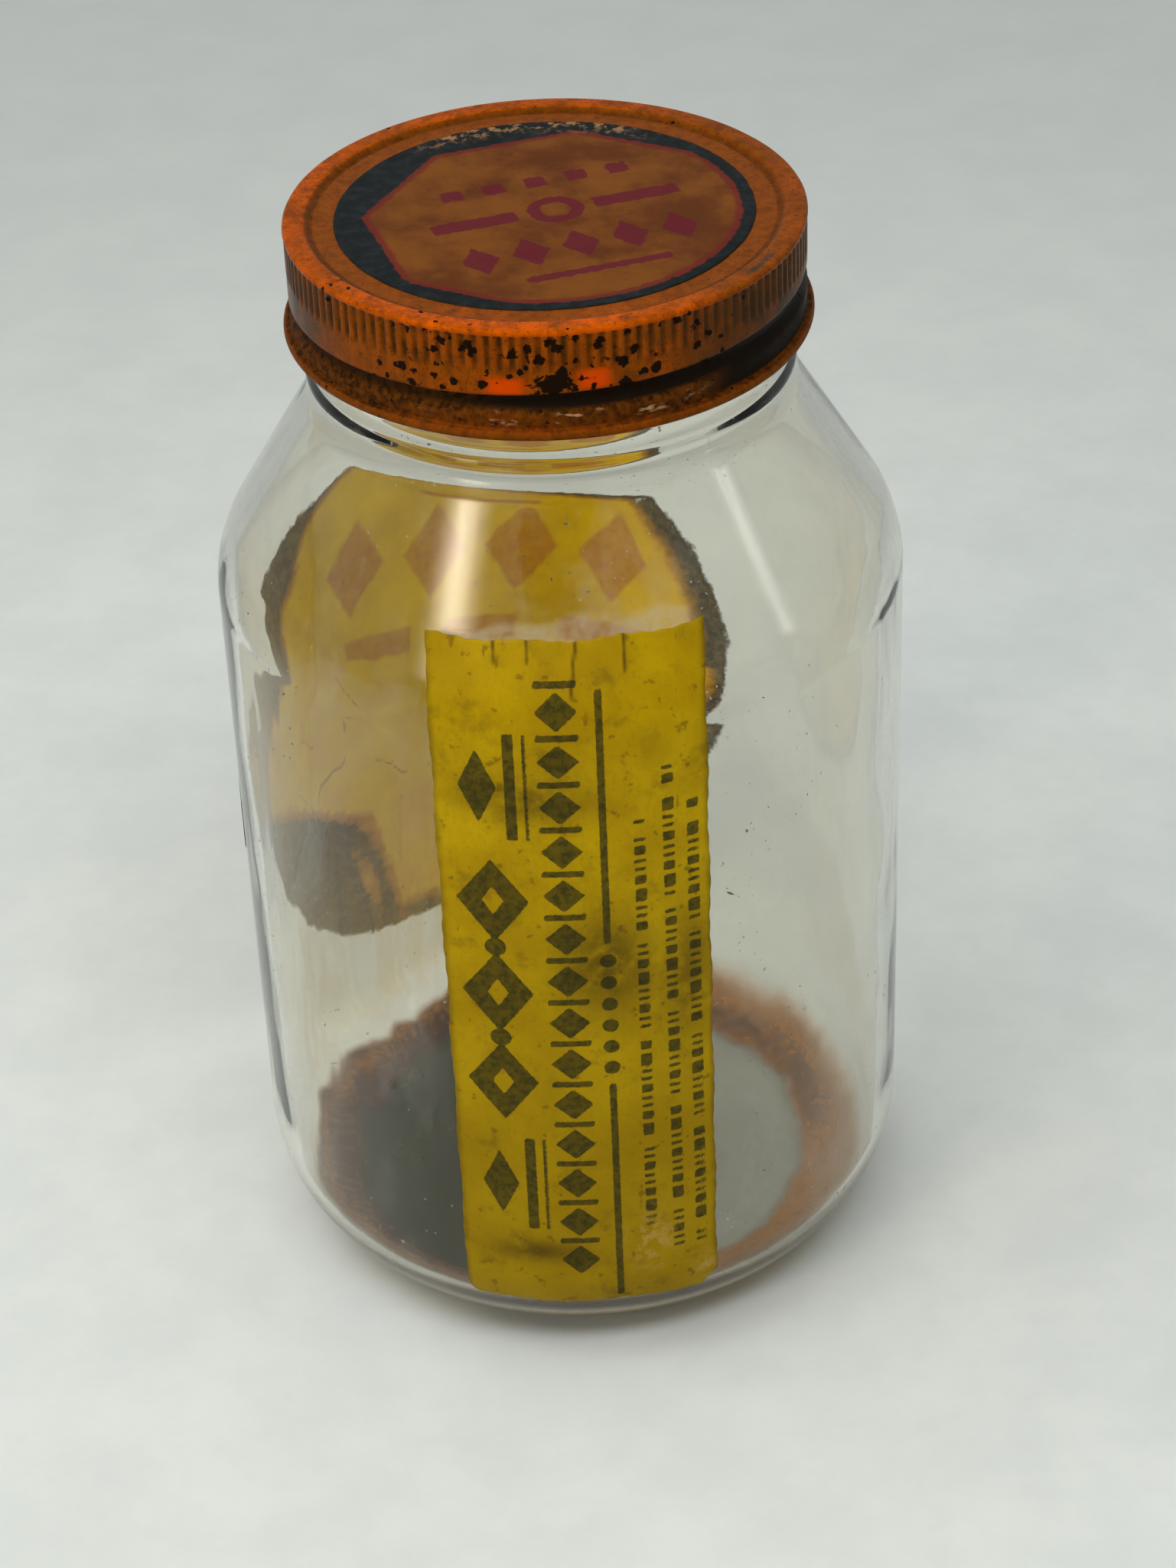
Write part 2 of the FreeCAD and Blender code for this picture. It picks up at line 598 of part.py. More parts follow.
def add_lid_thread(body):
    """The rolled thread: a bead inside the skirt, and the groove that it leaves outside."""
    s = SIZES
    plain = lid_radii()[1]
    half = s["groove_floor"] / 2 + s["groove_depth"]
    middle = (s["curl_bore"] + s["lid_sheet"] + s["groove_above_curl"] + half, BEAD_FOOT)
    tip_half = (s["groove_floor"] / 2 + s["lid_sheet"] * math.tan(math.radians(MITRE)), BEAD_TIP_HALF)
    tip = (
        plain - s["lid_sheet"] - s["groove_depth"],
        f"{BAND_RADIUS} - Sizes.lid_sheet - Sizes.groove_depth",
    )
    inside = s["lid_sheet"] / 2
    seat = (plain - inside, f"{BAND_RADIUS} - Sizes.lid_sheet / 2")
    seat_half = (
        tip_half[0] + s["groove_depth"] + inside,
        f"{BEAD_TIP_HALF} + Sizes.groove_depth + Sizes.lid_sheet / 2",
    )
    bead_rows = [(seat, *band(middle, seat_half)), (tip, *band(middle, tip_half))]

    floor = (plain - s["groove_depth"], f"{BAND_RADIUS} - Sizes.groove_depth")
    floor_half = (s["groove_floor"] / 2, "Sizes.groove_floor / 2")
    open_side = (plain + PAST, f"{BAND_RADIUS} + {PAST}")
    open_half = (half + PAST, f"{GROOVE_HALF} + {PAST}")
    groove_rows = [(open_side, *band(middle, open_half)), (floor, *band(middle, floor_half))]

    windings = [
        ("PartDesign::AdditiveHelix", "lid_bead", bead_rows),
        ("PartDesign::SubtractiveHelix", "lid_groove", groove_rows),
    ]
    for kind, name, rows in windings:
        outline = draw_thread(body, f"{name}_section", rows)
        turn_sketch(outline, BEAD_START)
        wind(body, kind, name, outline, BEAD_TURNS)


def make_lid():
    """The lid, in a frame of its own whose origin is the middle of its lower edge."""
    body = add_body("screw_lid")
    revolve(body, "PartDesign::Revolution", "lid_outside", draw_lid_face(body, "lid_outer_face", 0))
    revolve(body, "PartDesign::Groove", "lid_inside", draw_lid_face(body, "lid_inner_face", 1))
    revolve(body, "PartDesign::Revolution", "lid_curl", draw_curl(body))
    add_ribs(body)
    add_lid_thread(body)
    body.setExpression("Placement.Base.z", LID_BASE)
    return body


def make_liner():
    """The liner: a board disc under the lid's panel, and its coated face on the lip of the glass."""
    board = {
        "Radius": LINER_RADIUS,
        "Height": "Sizes.board_thickness",
        "Placement.Base.z": "Sizes.glass_height + Sizes.facing_thickness",
    }
    facing = {
        "Radius": LINER_RADIUS,
        "Height": "Sizes.facing_thickness",
        "Placement.Base.z": "Sizes.glass_height",
    }
    return [
        add_primitive("Part::Cylinder", "lid_liner_board", board),
        add_primitive("Part::Cylinder", "lid_liner_facing", facing),
    ]


def make_lid_decal():
    """The round transfer on the lid's panel."""
    sizes = {
        "Radius": f"{PANEL_RADIUS} - Sizes.lid_decal_inset",
        "Height": "Sizes.decal_film",
        "Placement.Base.z": f"{LID_BASE} + {PANEL_TOP}",
    }
    return add_primitive("Part::Cylinder", "lid_decal", sizes)


def make_label():
    """The paper label: a strip wrapped from the heel up to the cone, trimmed to its width."""
    s = SIZES
    body = add_body("label_wrap")
    outline = Outline(body, "label_section")
    near = s["glue_gap"]
    far = s["glue_gap"] + s["label_paper"]
    slope = s["shoulder_slope"]
    wrap = s["label_heel_wrap"]
    heel_centre = (s["body_radius"] - s["heel_radius"], s["heel_radius"])
    shoulder_centre = (s["body_radius"] - s["shoulder_radius"], shoulder_start())

    def cone_end(radius):
        foot = polar(shoulder_centre, radius, slope)
        return polar(foot, s["label_cone_run"], 90 + slope)

    heel_far = s["heel_radius"] + far
    heel_near = s["heel_radius"] + near
    shoulder_far = s["shoulder_radius"] + far
    shoulder_near = s["shoulder_radius"] + near
    outer = s["body_radius"] + far
    inner = s["body_radius"] + near
    low_far = outline.arc(heel_centre, heel_far, -wrap, 0)
    wall_far = outline.line((outer, heel_centre[1]), (outer, shoulder_centre[1]))
    bend_far = outline.arc(shoulder_centre, shoulder_far, 0, slope)
    cone_far = outline.line(polar(shoulder_centre, shoulder_far, slope), cone_end(shoulder_far))
    head = outline.line(cone_end(shoulder_far), cone_end(shoulder_near))
    cone_near = outline.line(cone_end(shoulder_near), polar(shoulder_centre, shoulder_near, slope))
    bend_near = outline.arc(shoulder_centre, shoulder_near, slope, 0)
    wall_near = outline.line((inner, shoulder_centre[1]), (inner, heel_centre[1]))
    low_near = outline.arc(heel_centre, heel_near, 0, -wrap)
    outline.line(polar(heel_centre, heel_near, -wrap), polar(heel_centre, heel_far, -wrap))

    outline.join(smooth=(low_far, wall_far, bend_far, cone_near, bend_near, wall_near))
    outline.hold("Coincident", low_far, CENTRE, low_near, CENTRE)
    outline.hold("Coincident", bend_far, CENTRE, bend_near, CENTRE)
    outline.hold("Vertical", wall_far)
    outline.hold("Vertical", wall_near)
    outline.hold("Perpendicular", cone_far, head)
    outline.hold("Perpendicular", head, cone_near)
    heel_across = "Sizes.body_radius - Sizes.heel_radius"
    shoulder_across = "Sizes.body_radius - Sizes.shoulder_radius"
    outline.point("heel_centre", heel_across, "Sizes.heel_radius", low_far, CENTRE)
    outline.point("shoulder_centre", shoulder_across, SHOULDER_START, bend_far, CENTRE)
    outline.radius("heel_far", HEEL_FAR, low_far)
    outline.radius("heel_near", HEEL_NEAR, low_near)
    outline.angle("cone_slope", f"90 deg + {SLOPE}", cone_far)
    run = Sketcher.Constraint("Distance", cone_far, s["label_cone_run"])
    outline.bind(run, "cone_run", "Sizes.label_cone_run")
    for name, edge, radius in (("tail_far", low_far, HEEL_FAR), ("tail_near", low_near, HEEL_NEAR)):
        tail = f"Sizes.heel_radius - {radius} * sin(Sizes.label_heel_wrap * 1 deg)"
        outline.height(name, tail, edge, START)
    revolve(body, "PartDesign::Revolution", "label_turn", outline, LABEL_SWEEP)

    trim = {
        "Length": "2 * Sizes.body_radius",
        "Width": "Sizes.label_width",
        "Height": "Sizes.glass_height",
        "Placement.Base.y": "-Sizes.label_width / 2",
    }
    label = add_common("front_label", body, add_primitive("Part::Box", "label_trim", trim))
    turn_solid(label, "Sizes.label_bearing")
    return label


def make_back_decal():
    """The large round transfer: a film on the straight wall, stamped out by an oval seen face on."""
    s = SIZES
    body = add_body("decal_wrap")
    outline = Outline(body, "decal_section")
    near = (s["body_radius"] + s["glue_gap"], "Sizes.body_radius + Sizes.glue_gap")
    far = (near[0] + s["decal_film"], f"{near[1]} + Sizes.decal_film")
    low = (s["heel_radius"], "Sizes.heel_radius")
    high = (shoulder_start(), SHOULDER_START)
    corners = [(near, low), (far, low), (far, high), (near, high)]
    edges = outline.polygon([(across[0], height[0]) for across, height in corners])
    for number, (edge, (across, height)) in enumerate(zip(edges, corners)):
        outline.point(f"corner{number}", across[1], height[1], edge)
    revolve(body, "PartDesign::Revolution", "decal_turn", outline, DECAL_SWEEP)

    oval = doc.addObject("Part::Ellipse", "decal_oval")
    oval.Placement = FreeCAD.Placement(FreeCAD.Vector(), FreeCAD.Rotation(AXIS_Y, -90))
    oval.setExpression("MajorRadius", DECAL_RADIUS)
    oval.setExpression("MinorRadius", DECAL_HALF_WIDTH)
    oval.setExpression("Placement.Base.z", f"(Sizes.heel_radius * 1 mm + {SHOULDER_START}) / 2")
    stamp = doc.addObject("Part::Extrusion", "decal_stamp")
    stamp.Base = oval
    stamp.DirMode = "Custom"
    stamp.Dir = AXIS_X
    stamp.Solid = True
    stamp.setExpression("LengthFwd", "2 * Sizes.body_radius")
    decal = add_common("back_decal", body, stamp)
    turn_solid(decal, "Sizes.decal_bearing")
    return decal


def make_residue():
    """The dried oil: a ring that fills the bottom corner up to a shallow meniscus."""
    s = SIZES
    body = add_body("oil_residue")
    outline = Outline(body, "residue_section")
    inner_radius = s["body_radius"] - s["glass_wall"]
    centre = (inner_radius - s["inner_heel_radius"], s["floor_thickness"] + s["inner_heel_radius"])
    reach = s["inner_heel_radius"] - s["residue_gap"]
    low = polar(centre, reach, -s["residue_low"])
    high = polar(centre, reach, -s["residue_high"])
    middle = (s["residue_low"] + s["residue_high"]) / 2
    half_chord = reach * math.sin(math.radians((s["residue_low"] - s["residue_high"]) / 2))
    opening = math.degrees(math.asin(half_chord / s["residue_meniscus"]))
    chord_depth = math.sqrt(reach**2 - half_chord**2)
    meniscus_depth = math.sqrt(s["residue_meniscus"]**2 - half_chord**2)
    meniscus_centre = polar(centre, chord_depth - meniscus_depth, -middle)

    seat = outline.arc(centre, reach, -s["residue_low"], -s["residue_high"])
    meniscus = outline.arc(meniscus_centre, s["residue_meniscus"], opening - middle, -opening - middle)
    outline.join()
    across = f"{INNER_RADIUS} - Sizes.inner_heel_radius"
    height = "Sizes.floor_thickness + Sizes.inner_heel_radius"
    outline.point("centre", across, height, seat, CENTRE)
    outline.radius("seat", SEAT_RADIUS, seat)
    outline.radius("meniscus", "Sizes.residue_meniscus", meniscus)
    outline.across("low_edge", f"{across} + {SEAT_RADIUS} * cos(Sizes.residue_low * 1 deg)", seat, START)
    outline.across("high_edge", f"{across} + {SEAT_RADIUS} * cos(Sizes.residue_high * 1 deg)", seat, END)
    revolve(body, "PartDesign::Revolution", "residue_turn", outline)
    return body


def check_document():
    """Stops the build if any object of the document failed."""
    for item in doc.Objects:
        if {"Invalid", "Error"} & set(item.State):
            raise ValueError(f"{item.Label} failed: {item.State}")


def write_parts(parts):
    """Writes each sub-part to a file named after it, once all of them are sound."""
    for part in parts:
        if part.Shape.isNull() or not part.Shape.isValid():
            raise ValueError(f"{part.Label} has no valid shape")
    os.makedirs("parts", exist_ok=True)
    for part in parts:
        part.Shape.exportStep(f"parts/{part.Label}.step")
        print(f"{part.Label}: {len(part.Shape.Solids)} solid, {part.Shape.Volume:.1f} mm3")


def main():
    make_sheet()
    parts = [make_jar(), make_lid(), *make_liner(), make_lid_decal()]
    parts += [make_label(), make_back_decal(), make_residue()]
    doc.recompute()
    check_document()
    write_parts(parts)


main()
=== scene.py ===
import math

import bpy
import numpy as np
from mathutils import Matrix, Vector, noise


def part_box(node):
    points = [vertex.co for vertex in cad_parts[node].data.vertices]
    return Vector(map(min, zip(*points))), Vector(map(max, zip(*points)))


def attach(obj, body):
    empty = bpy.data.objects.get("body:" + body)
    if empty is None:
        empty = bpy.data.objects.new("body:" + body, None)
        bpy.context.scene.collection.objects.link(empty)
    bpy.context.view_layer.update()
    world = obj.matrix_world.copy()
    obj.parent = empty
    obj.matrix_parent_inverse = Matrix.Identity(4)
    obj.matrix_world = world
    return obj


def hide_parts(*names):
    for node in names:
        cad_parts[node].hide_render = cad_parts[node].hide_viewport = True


# A clear glass jar with a worn orange screw lid, a yellow paper label, an old round transfer on the
# far side, and dried oil inside. The pieces' sizes are in millimetres until a mesh is made, and angles
# are in degrees from the front of the jar, positive to the viewer's right.

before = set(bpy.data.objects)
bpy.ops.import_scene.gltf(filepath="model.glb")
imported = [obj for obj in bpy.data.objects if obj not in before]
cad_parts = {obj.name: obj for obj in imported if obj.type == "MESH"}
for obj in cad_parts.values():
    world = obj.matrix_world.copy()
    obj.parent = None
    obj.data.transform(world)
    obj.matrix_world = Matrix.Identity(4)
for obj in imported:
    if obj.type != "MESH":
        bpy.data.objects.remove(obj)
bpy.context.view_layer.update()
scene = bpy.context.scene

MM = 0.001

# Glass, as in the frame. A crest and a foot are half widths.
BODY_RADIUS = round(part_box("glass_jar")[1].x / MM, 1)
GLASS_TOP = round(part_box("glass_jar")[1].z / MM, 1)
GLASS_WALL = 2.8
HEEL_RADIUS = 20.0
INNER_HEEL_RADIUS = 14.0
FLOOR_THICKNESS = 4.6
FLOOR_DOME = 1.6
BEARING_WIDTH = 2.2
PUSH_UP = 2.4
SHOULDER_RADIUS = 17.3
SHOULDER_SLOPE = 31.3
NECK_LENGTH = 20.35
NECK_FILLET = 8.0
BORE_FILLET = 11.0
FINISH_RADIUS = 33.5
FINISH_WALL = 3.5
LIP_ROUND = 0.9
THREAD_LEAD = 6.35
THREAD_HEIGHT = 1.0
THREAD_TURNS = 1.2
THREAD_DROP = 2.1
THREAD_START = 159.3
THREAD_CREST = 0.6
THREAD_FOOT = 1.3
RING_DROP = 19.3
RING_HEIGHT = 0.6
RING_CREST = 0.3
RING_FOOT = 1.7
NECK_WAVE = 0.2
NECK_WAVE_PITCH = 5.0

# Lid, with heights measured from the middle of its curl
LID_TOP = round(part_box("screw_lid")[1].z / MM, 1)
SKIRT_HEIGHT = 15.0
LID_BASE = LID_TOP - SKIRT_HEIGHT
LID_SHEET = 0.4
PANEL_RECESS = 0.7
PANEL_RADIUS = 32.0
RIM_RADIUS = 35.6
RIM_ROUND = 0.6
KNURL_RADIUS = 35.2
KNURL_TOP = 14.0
KNURL_FOOT = 9.8
KNURL_FADE = 1.2
RIB_COUNT = 134
RIB_RISE = 0.3
BAND_RADIUS = 35.5
BAND_TOP = 9.5
CURL_RADIUS = 0.7
GROOVE_DEPTH = 1.0
GROOVE_START = -99.5
GROOVE_SWEEP = 286.0
GROOVE_RUN_OUT = 22.0
GROOVE_FOOT = 3.0
LID_DECAL_RADIUS = 28.6

# Paper and transfers
LABEL_HALF_WIDTH = 18.7
LABEL_HEEL_WRAP = 19.6
LABEL_CONE_RUN = 6.1
LABEL_PAPER = 0.15
GLUE_GAP = 0.05
DECAL_RADIUS = 46.2
DECAL_STRETCH = 1.227
DECAL_BEARING = -150.5
DECAL_MIDDLE = 66.5
DECAL_FILM = 0.12

SLOPE = math.radians(SHOULDER_SLOPE)
BENDS = NECK_FILLET + SHOULDER_RADIUS
CONE_WIDTH = BODY_RADIUS - FINISH_RADIUS - BENDS * (1 - math.cos(SLOPE))
SHOULDER_START = GLASS_TOP - NECK_LENGTH - BENDS * math.sin(SLOPE) - CONE_WIDTH / math.tan(SLOPE)
HEEL_RUN = HEEL_RADIUS * math.radians(LABEL_HEEL_WRAP)
WALL_RUN = SHOULDER_START - HEEL_RADIUS
BEND_RUN = SHOULDER_RADIUS * SLOPE
LABEL_LENGTH = HEEL_RUN + WALL_RUN + BEND_RUN + LABEL_CONE_RUN


def srgb(red, green, blue):
    """A colour of the screen, 0 to 255, as a linear colour."""
    parts = [value / 255 for value in (red, green, blue)]
    linear = [p / 12.92 if p <= 0.04045 else ((p + 0.055) / 1.055) ** 2.4 for p in parts]
    return (*linear, 1.0)


def smoothstep(low, high, value):
    share = np.clip((np.asarray(value, float) - low) / (high - low), 0.0, 1.0)
    return share * share * (3 - 2 * share)


def plateau(value, low, high, soft):
    """1 between low and high, and 0 outside them, over a soft edge."""
    return smoothstep(low - soft, low + soft, value) * (1 - smoothstep(high - soft, high + soft, value))


def wobble(points, size, seed):
    """Smooth noise from -1 to 1 at each point, with features of about that size. A seed moves it."""
    shift = Vector((17.3, 5.1, 9.7)) * seed
    flat = np.asarray(points, float).reshape(-1, 3) / size
    values = [noise.noise(Vector(point) + shift) for point in flat]
    return np.array(values).reshape(np.asarray(points).shape[:-1])


def arc(centre, radius, first, last, steps):
    """Points along an arc between two angles, with both ends."""
    angles = np.radians(np.linspace(first, last, steps + 1))
    return [(centre[0] + radius * math.cos(a), centre[1] + radius * math.sin(a)) for a in angles]


def line(start, end, steps):
    """Points along a straight stretch, with both ends."""
    shares = np.linspace(0, 1, steps + 1)
    return [(start[0] + (end[0] - start[0]) * t, start[1] + (end[1] - start[1]) * t) for t in shares]


def chain(*runs):
    """One list of points from runs that meet end to end."""
    points = list(runs[0])
    for run in runs[1:]:
        gap = math.dist(points[-1], run[0])
        points += run[1:] if gap < 1e-6 else run
    return points


def bearings(columns):
    """A row of evenly spaced angles from the front, all the way round."""
    return np.linspace(-180, 180, columns, endpoint=False)[None, :]


def around(radius, height, bearing):
    """Points at a radius and height, at an angle from the front."""
    angle = np.radians(bearing)
    radius, height, angle = np.broadcast_arrays(radius, height, angle)
    return np.stack([radius * np.sin(angle), -radius * np.cos(angle), height], axis=-1)


def make_object(name, points, faces, fields, material):
    mesh = bpy.data.meshes.new(name)
    mesh.from_pydata((points * MM).tolist(), [], faces)
    for field, values in fields.items():
        attribute = mesh.attributes.new(field, "FLOAT", "POINT")
        attribute.data.foreach_set("value", np.ascontiguousarray(values, np.float32))
    mesh.shade_smooth()
    mesh.update()
    piece = bpy.data.objects.new(name, mesh)
    scene.collection.objects.link(piece)
    piece.data.materials.append(material)
    return piece


def turned(name, points, material, poles=True, **fields):
    """A closed mesh from rows of points that each run round an axis, with fields for rows, columns or both.

    With poles, the first and last row are one point each. Without, the last row joins the first.
    """
    rows, columns = points.shape[:2]

    def flat(grid):
        whole = grid.reshape(rows * columns, -1)
        return np.vstack([whole[0], whole[columns:-columns], whole[-columns]]) if poles else whole

    first, rings = (1, rows - 2) if poles else (0, rows)
    bands = rings - 1 if poles else rings
    index = first + np.arange(rings * columns).reshape(rings, columns)
    beside = np.roll(index, -1, axis=1)
    quads = np.stack([index, np.roll(index, -1, axis=0), np.roll(beside, -1, axis=0), beside], axis=-1)
    faces = quads[:bands].reshape(-1, 4).tolist()
    if poles:
        last = first + rings * columns
        for a, b, c, d in np.stack([index[0], beside[0], beside[-1], index[-1]], axis=-1).tolist():
            faces += [(0, a, b), (last, c, d)]
    values = {field: flat(np.broadcast_to(grid, (rows, columns))).ravel() for field, grid in fields.items()}
    return make_object(name, flat(points), faces, values, material)


def pasted(name, near, far, material, **fields):
    """A closed thin sheet between two grids of points, whose rows run up and columns to the right.

    Its field "face" is 1 on the far grid and 0 on the near one.
    """
    rows, columns = far.shape[:2]
    count = rows * columns
    index = np.arange(count).reshape(rows, columns)
    quads = np.stack([index[:-1, :-1], index[:-1, 1:], index[1:, 1:], index[1:, :-1]], axis=-1).reshape(-1, 4)
    sheets = np.stack([quads, count + quads[:, ::-1]], axis=1).reshape(-1, 4)
    rim = np.concatenate([index[0], index[1:, -1], index[-1, -2::-1], index[-2:0:-1, 0]])
    following = np.roll(rim, -1)
    walls = np.stack([following, rim, count + rim, count + following], axis=-1)
    points = np.vstack([far.reshape(-1, 3), near.reshape(-1, 3)])
    values = {field: np.tile(grid.ravel(), 2) for field, grid in fields.items()}
    values["face"] = np.repeat([1.0, 0.0], count)
    return make_object(name, points, np.vstack([sheets, walls]).tolist(), values, material)


def block(x, y, middle_x, middle_y, half_x, half_y):
    """The signed distance to a rectangle, negative inside it."""
    over_x = np.abs(x - middle_x) - half_x
    over_y = np.abs(y - middle_y) - half_y
    outside = np.hypot(np.maximum(over_x, 0), np.maximum(over_y, 0))
    return outside + np.minimum(np.maximum(over_x, over_y), 0)


def lozenge(x, y, middle_x, middle_y, half_x, half_y):
    """About the signed distance to a lozenge, negative inside it."""
    share = np.abs(x - middle_x) / half_x + np.abs(y - middle_y) / half_y - 1
    return share * half_x * half_y / math.hypot(half_x, half_y)


def spot(x, y, middle_x, middle_y, radius):
    """The signed distance to a round spot, negative inside it."""
    return np.hypot(x - middle_x, y - middle_y) - radius


def row(shape, x, y, places, middle_y, *sizes):
    """The same shape at several places along x. With x and y exchanged, a row that runs along y."""
    return [shape(x, y, place, middle_y, *sizes) for place in places]


def blob(x, y, middle_x, middle_y, half_x, half_y, power=2):
    """1 in the middle of an oval, and less and less outside it."""
    return np.exp(-((x - middle_x) / half_x) ** power - ((y - middle_y) / half_y) ** power)


def joined(shapes, limit):
    """The signed distance to several shapes together, up to a limit each way."""
    return np.clip(np.minimum.reduce(shapes), -limit, limit)


class Tree:
    """The node tree of a material, a lamp or the world.

    Most calls add a node and return what it gives out.
    """

    def __init__(self, owner):
        self.owner = owner
        owner.use_nodes = True
        self.nodes = owner.node_tree.nodes
        self.links = owner.node_tree.links
        self.nodes.clear()
        self.place = self.add("ShaderNodeTexCoord").outputs["Object"]
        self.colour = None

    def add(self, kind, inputs=(), **properties):
        node = self.nodes.new(kind)
        for name, value in properties.items():
            setattr(node, name, value)
        for key, value in dict(inputs).items():
            self.feed(node.inputs[key], value)
        return node

    def feed(self, socket, value):
        if isinstance(value, bpy.types.NodeSocket):
            self.links.new(value, socket)
        else:
            socket.default_value = value

    def stretched(self, x, y, z):
        """The piece's own coordinates, scaled along each axis."""
        inputs = {"Vector": self.place, "Scale": (x, y, z)}
        return self.add("ShaderNodeMapping", inputs).outputs["Vector"]

    def noise(self, size, detail=4.0, rough=0.55, twist=0.0, place=None):
        """Noise from 0 to 1 with features of about that size, in millimetres."""
        inputs = {
            "Vector": place or self.place,
            "Scale": 1 / (size * MM),
            "Detail": detail,
            "Roughness": rough,
            "Distortion": twist,
        }
        return self.add("ShaderNodeTexNoise", inputs).outputs["Fac"]

    def cells(self, size):
        """The distance to the nearest of many scattered points, about 0 to 1."""
        inputs = {"Vector": self.place, "Scale": 1 / (size * MM)}
        return self.add("ShaderNodeTexVoronoi", inputs).outputs["Distance"]

    def field(self, name):
        """A value that the mesh holds at each point."""
        return self.add("ShaderNodeAttribute", attribute_name=name).outputs["Fac"]

    def sum(self, a, b):
        return self.calculate("ADD", a, b)

    def product(self, a, b):
        return self.calculate("MULTIPLY", a, b)

    def difference(self, a, b):
        return self.calculate("SUBTRACT", a, b)

    def larger(self, a, b):
        return self.calculate("MAXIMUM", a, b)

    def centred(self, value, amount):
        """A value from 0 to 1, moved and scaled to run half the amount each way from 0."""
        return self.product(self.difference(value, 0.5), amount)

    def calculate(self, operation, a, b):
        return self.add("ShaderNodeMath", {0: a, 1: b}, operation=operation).outputs[0]

    def step(self, value, low, high, first=0.0, last=1.0):
        """first below low, last above high, and smooth between them."""
        inputs = {"Value": value, "From Min": low, "From Max": high, "To Min": first, "To Max": last}
        node = self.add("ShaderNodeMapRange", inputs, interpolation_type="SMOOTHSTEP", clamp=True)
        return node.outputs["Result"]

    def patchy(self, name, cover, *limits):
        """A field of the mesh, broken up by a step in another value."""
        return self.product(self.field(name), self.step(cover, *limits))

    def mix(self, share, a, b, blend="MIX"):
        node = self.add("ShaderNodeMix", data_type="RGBA", blend_type=blend)
        self.feed(node.inputs["Factor"], share)
        colours = [socket for socket in node.inputs if socket.type == "RGBA"]
        self.feed(colours[0], a)
        self.feed(colours[1], b)
        return next(socket for socket in node.outputs if socket.type == "RGBA")

    def coat(self, share, colour, amount=1.0, blend="MIX"):
        """Lays a colour over the one so far, over a share of 0 to 1 times the amount."""
        if amount < 1:
            share = self.product(share, amount)
        self.colour = self.mix(share, self.colour, colour, blend)

    def bump(self, height, strength, depth):
        """A normal from a height, with its depth in millimetres."""
        inputs = {"Height": height, "Strength": strength, "Distance": depth * MM}
        return self.add("ShaderNodeBump", inputs).outputs["Normal"]

    def surface(self, **inputs):
        """The material's Principled shader, by names such as base_color."""
        words = {"ior": "IOR", "specular": "Specular IOR Level"}
        named = {words.get(key, key.replace("_", " ").title()): value for key, value in inputs.items()}
        return self.add("ShaderNodeBsdfPrincipled", named).outputs["BSDF"]

    def finish(self, shader, output="ShaderNodeOutputMaterial"):
        self.add(output, {"Surface": shader})
        return self.owner


def material_tree(name):
    return Tree(bpy.data.materials.new(name))


def glass_material():
    """Clear, slightly warm glass with dust, thin haze and a stained foot, whose stain also holds painted
    shade.

    It lets lamplight and the light from dull surfaces straight through, to what is behind it.
    """
    tree = material_tree("clear_glass")
    dust = tree.step(tree.noise(1.1, 2.0, 0.5), 0.715, 0.745)
    patches = tree.step(tree.noise(28.0, 3.0), 0.5, 0.62)
    specks = tree.product(dust, patches)
    ripple = tree.noise(9.0, 2.0, 0.4, place=tree.stretched(1.0, 1.0, 0.3))
    grime, amber = tree.field("grime"), tree.field("amber")
    # The grime and amber bands of the foot are oil stain and painted shade together: darker glass, and a
    # tinted, partly opaque band
    tree.colour = tree.mix(grime, (0.915, 0.905, 0.845, 1.0), (0.12, 0.094, 0.045, 1.0))
    tree.coat(amber, (0.26, 0.165, 0.006, 1.0))
    stain_and_shade = tree.product(amber, 0.92)
    streaks = tree.noise(8.0, 6.0, 0.65, place=tree.stretched(1.0, 1.0, 0.35))
    haze = tree.step(streaks, 0.5, 0.72, 0.0, 0.04)
    cloudy = tree.larger(tree.larger(specks, stain_and_shade), haze)
    # The glass darkens where it is seen edge-on: painted shade for the dark bands at its sides
    edge = tree.add("ShaderNodeLayerWeight", {"Blend": 0.35}).outputs["Facing"]
    tree.coat(tree.step(edge, 0.55, 1.0), (0.5, 0.51, 0.46, 1.0), blend="MULTIPLY")
    glass = tree.surface(
        base_color=tree.mix(specks, tree.colour, (0.12, 0.11, 0.09, 1.0)),
        roughness=tree.product(specks, 0.5),
        ior=1.5,
        specular_tint=(0.5, 0.5, 0.5, 1.0),
        transmission_weight=tree.difference(1.0, cloudy),
        normal=tree.bump(ripple, 0.15, 0.4),
    )
    shade = tree.mix(tree.step(edge, 0.5, 1.0), (0.975, 0.975, 0.965, 1.0), (0.65, 0.65, 0.64, 1.0))
    shade = tree.mix(tree.larger(grime, amber), shade, (0.3, 0.24, 0.12, 1.0))
    through = tree.add("ShaderNodeBsdfTransparent", {"Color": shade}).outputs["BSDF"]
    path = tree.add("ShaderNodeLightPath").outputs
    for ray in ("Is Diffuse Ray", "Is Shadow Ray"):
        glass = tree.add("ShaderNodeMixShader", {0: path[ray], 1: glass, 2: through}).outputs[0]
    return tree.finish(glass)


